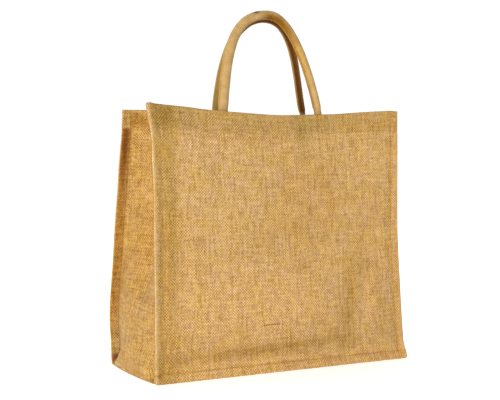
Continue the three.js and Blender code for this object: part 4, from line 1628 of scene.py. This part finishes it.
def thread(name, light, dark):
    n = Nodes(name)
    where = n.add("ShaderNodeTexCoord").outputs["Object"]
    tone = n.noise(where, 420.0, 2.0, 0.6)
    n.surface(
        Base_Color=n.mix(n.ramp(tone, 0.35, 0.65), dark, light), Roughness=0.8,
        Specular_IOR_Level=0.3, Normal=n.bump(n.noise(where, 2200.0, 1.0), THREAD_RELIEF, 0.5),
    )
    return n.material


brown_thread = thread("brown_cotton_thread", THREAD_LIGHT, THREAD_DARK)

# %% All the stitches
for side in PANELS:
    bm = bmesh.new()
    flange_rows(bm, side)
    hem_rows(bm, side)
    tab_rows(bm, side)
    finish_mesh(bm, side + "_stitches", brown_thread)
bm = bmesh.new()
gusset_hem_rows(bm)
finish_mesh(bm, "gusset_hem_stitches", brown_thread)

# %% [markdown]
# ## Slubs
# A slub is a thick, loose place in a yarn, and plain jute shows some of them in brown. The weave's
# nodes darken many small ones. The few that stand out are modelled, so that they keep their place
# and stand a little off the cloth. One long bead would sink into the curved panel, so a slub is a
# row of short ones.

# %% Slubs
SLUB_PITCH = 3.4
SLUB_BEAD = 0.8 * SLUB_PITCH
SLUB_LIGHT = (0.36, 0.15, 0.016, 1)
SLUB_DARK = (0.20, 0.06, 0.005, 1)
SLUBS = {
    "front": table(
        "x z angle long wide",
        (-26, 69, 1, 25, 2.5), (16, 266, 10, 4, 2.0), (-121, 210, 91, 9, 1.2),
        (62, 151, 89, 12, 1.2), (-60, 301, 1, 8, 1.1), (141, 252, 92, 10, 1.1),
        (96, 41, 1, 9, 1.2), (-152, 92, 88, 8, 1.2), (21, 181, 2, 7, 1.1),
        (-90, 140, 1, 6, 1.3), (120, 310, 90, 7, 1.1), (-30, 240, 90, 6, 1.0),
    ),
    "back": table(
        "x z angle long wide",
        (40, 90, 1, 18, 1.4), (-70, 220, 91, 10, 1.2), (110, 260, 89, 12, 1.1),
        (-140, 130, 2, 8, 1.2), (10, 300, 1, 7, 1.1), (150, 160, 90, 9, 1.2),
        (-20, 170, 0, 6, 1.3), (80, 330, 91, 6, 1.1),
    ),
}
slub_yarn = thread("brown_jute_slub", SLUB_LIGHT, SLUB_DARK)


def make_slubs(side):
    """Each slub is a row of short beads that follow the cloth."""
    bm = bmesh.new()
    outside = Vector((0, -PANELS[side]["to_back"], 0))
    for slub in SLUBS[side]:
        turn = math.radians(slub["angle"])
        yarn = Vector((math.cos(turn), 0, math.sin(turn)))
        long, wide = slub["long"], slub["wide"]
        for reach in evenly(-long / 2, long / 2, round(long / SLUB_PITCH)):
            spot = panel_spot(side, slub["x"] + reach * yarn.x, slub["z"] + reach * yarn.z, 0)
            add_bead(bm, spot, yarn, outside, SLUB_BEAD, wide, wide)
    finish_mesh(bm, side + "_slubs", slub_yarn)


for side in PANELS:
    make_slubs(side)

# %% [markdown]
# ## Floor and light
# The picture is a studio shot on white: the backdrop behind the bag is bright, and the bag is lit
# softly from the left. Many lamps could light such a set, but an even light flattens the weave. So
# one soft lamp stands at the left, one lights the floor from behind, and the world round the bag
# is bright behind it and dimmer in front. The floor glows a little, to stay white under the bag.

# %% Floor
FLOOR_HALF = 8.0
FLOOR_WHITE = (0.93, 0.93, 0.93, 1)
FLOOR_GLOW = 0.42
FLOOR_ROUGHNESS = 0.9
WHITE = (1, 1, 1, 1)
floor_mesh = bpy.data.meshes.new("floor")
bm = bmesh.new()
bmesh.ops.create_grid(bm, x_segments=1, y_segments=1, size=FLOOR_HALF)
bm.to_mesh(floor_mesh)
bm.free()
floor = bpy.data.objects.new("floor", floor_mesh)
bpy.context.scene.collection.objects.link(floor)
floor_paint = bpy.data.materials.new("floor_paint")
floor_paint.use_nodes = True
floor_shader = floor_paint.node_tree.nodes["Principled BSDF"]
floor_shader.inputs["Base Color"].default_value = FLOOR_WHITE
floor_shader.inputs["Roughness"].default_value = FLOOR_ROUGHNESS
floor_shader.inputs["Emission Color"].default_value = WHITE
floor_shader.inputs["Emission Strength"].default_value = FLOOR_GLOW
floor_mesh.materials.append(floor_paint)
print("the floor is", 2 * FLOOR_HALF, "m wide")

# %% World
WORLD_FRONT = 0.42
WORLD_BACK = 1.05
WORLD_FROM, WORLD_TO = -0.1, 0.6
world = bpy.data.worlds.new("studio")
bpy.context.scene.world = world
world.use_nodes = True
sky = world.node_tree
towards = sky.nodes.new("ShaderNodeSeparateXYZ")
sky.links.new(sky.nodes.new("ShaderNodeTexCoord").outputs["Generated"], towards.inputs[0])
level = sky.nodes.new("ShaderNodeMapRange")
level.interpolation_type = "SMOOTHSTEP"
for i, number in enumerate((WORLD_FROM, WORLD_TO, WORLD_FRONT, WORLD_BACK), start=1):
    level.inputs[i].default_value = number
sky.links.new(towards.outputs["Y"], level.inputs[0])
sky.links.new(level.outputs[0], sky.nodes["Background"].inputs["Strength"])
sky.nodes["Background"].inputs["Color"].default_value = WHITE
print("the world is", WORLD_BACK, "bright behind the bag and", WORLD_FRONT, "in front of it")

# %% Lamps
AIM = Vector((0, 0, 0.2))


def soft_lamp(name, at, size, power):
    light = bpy.data.lights.new(name, "AREA")
    light.size = size
    light.energy = power
    lamp = bpy.data.objects.new(name, light)
    lamp.location = at
    lamp.rotation_euler = (AIM - Vector(at)).to_track_quat("-Z", "Y").to_euler()
    bpy.context.scene.collection.objects.link(lamp)
    print(name, "is", size, "m wide and gives", power, "W")


soft_lamp("key_lamp", (-2.4, -2.1, 1.0), 1.3, 90)
soft_lamp("floor_lamp", (0.4, 1.9, 2.6), 2.0, 55)
bpy.context.scene.view_settings.view_transform = "Standard"
# Without a smoothed guide, the clean-up of the render keeps the fine weave
bpy.context.scene.cycles.denoising_prefilter = "NONE"
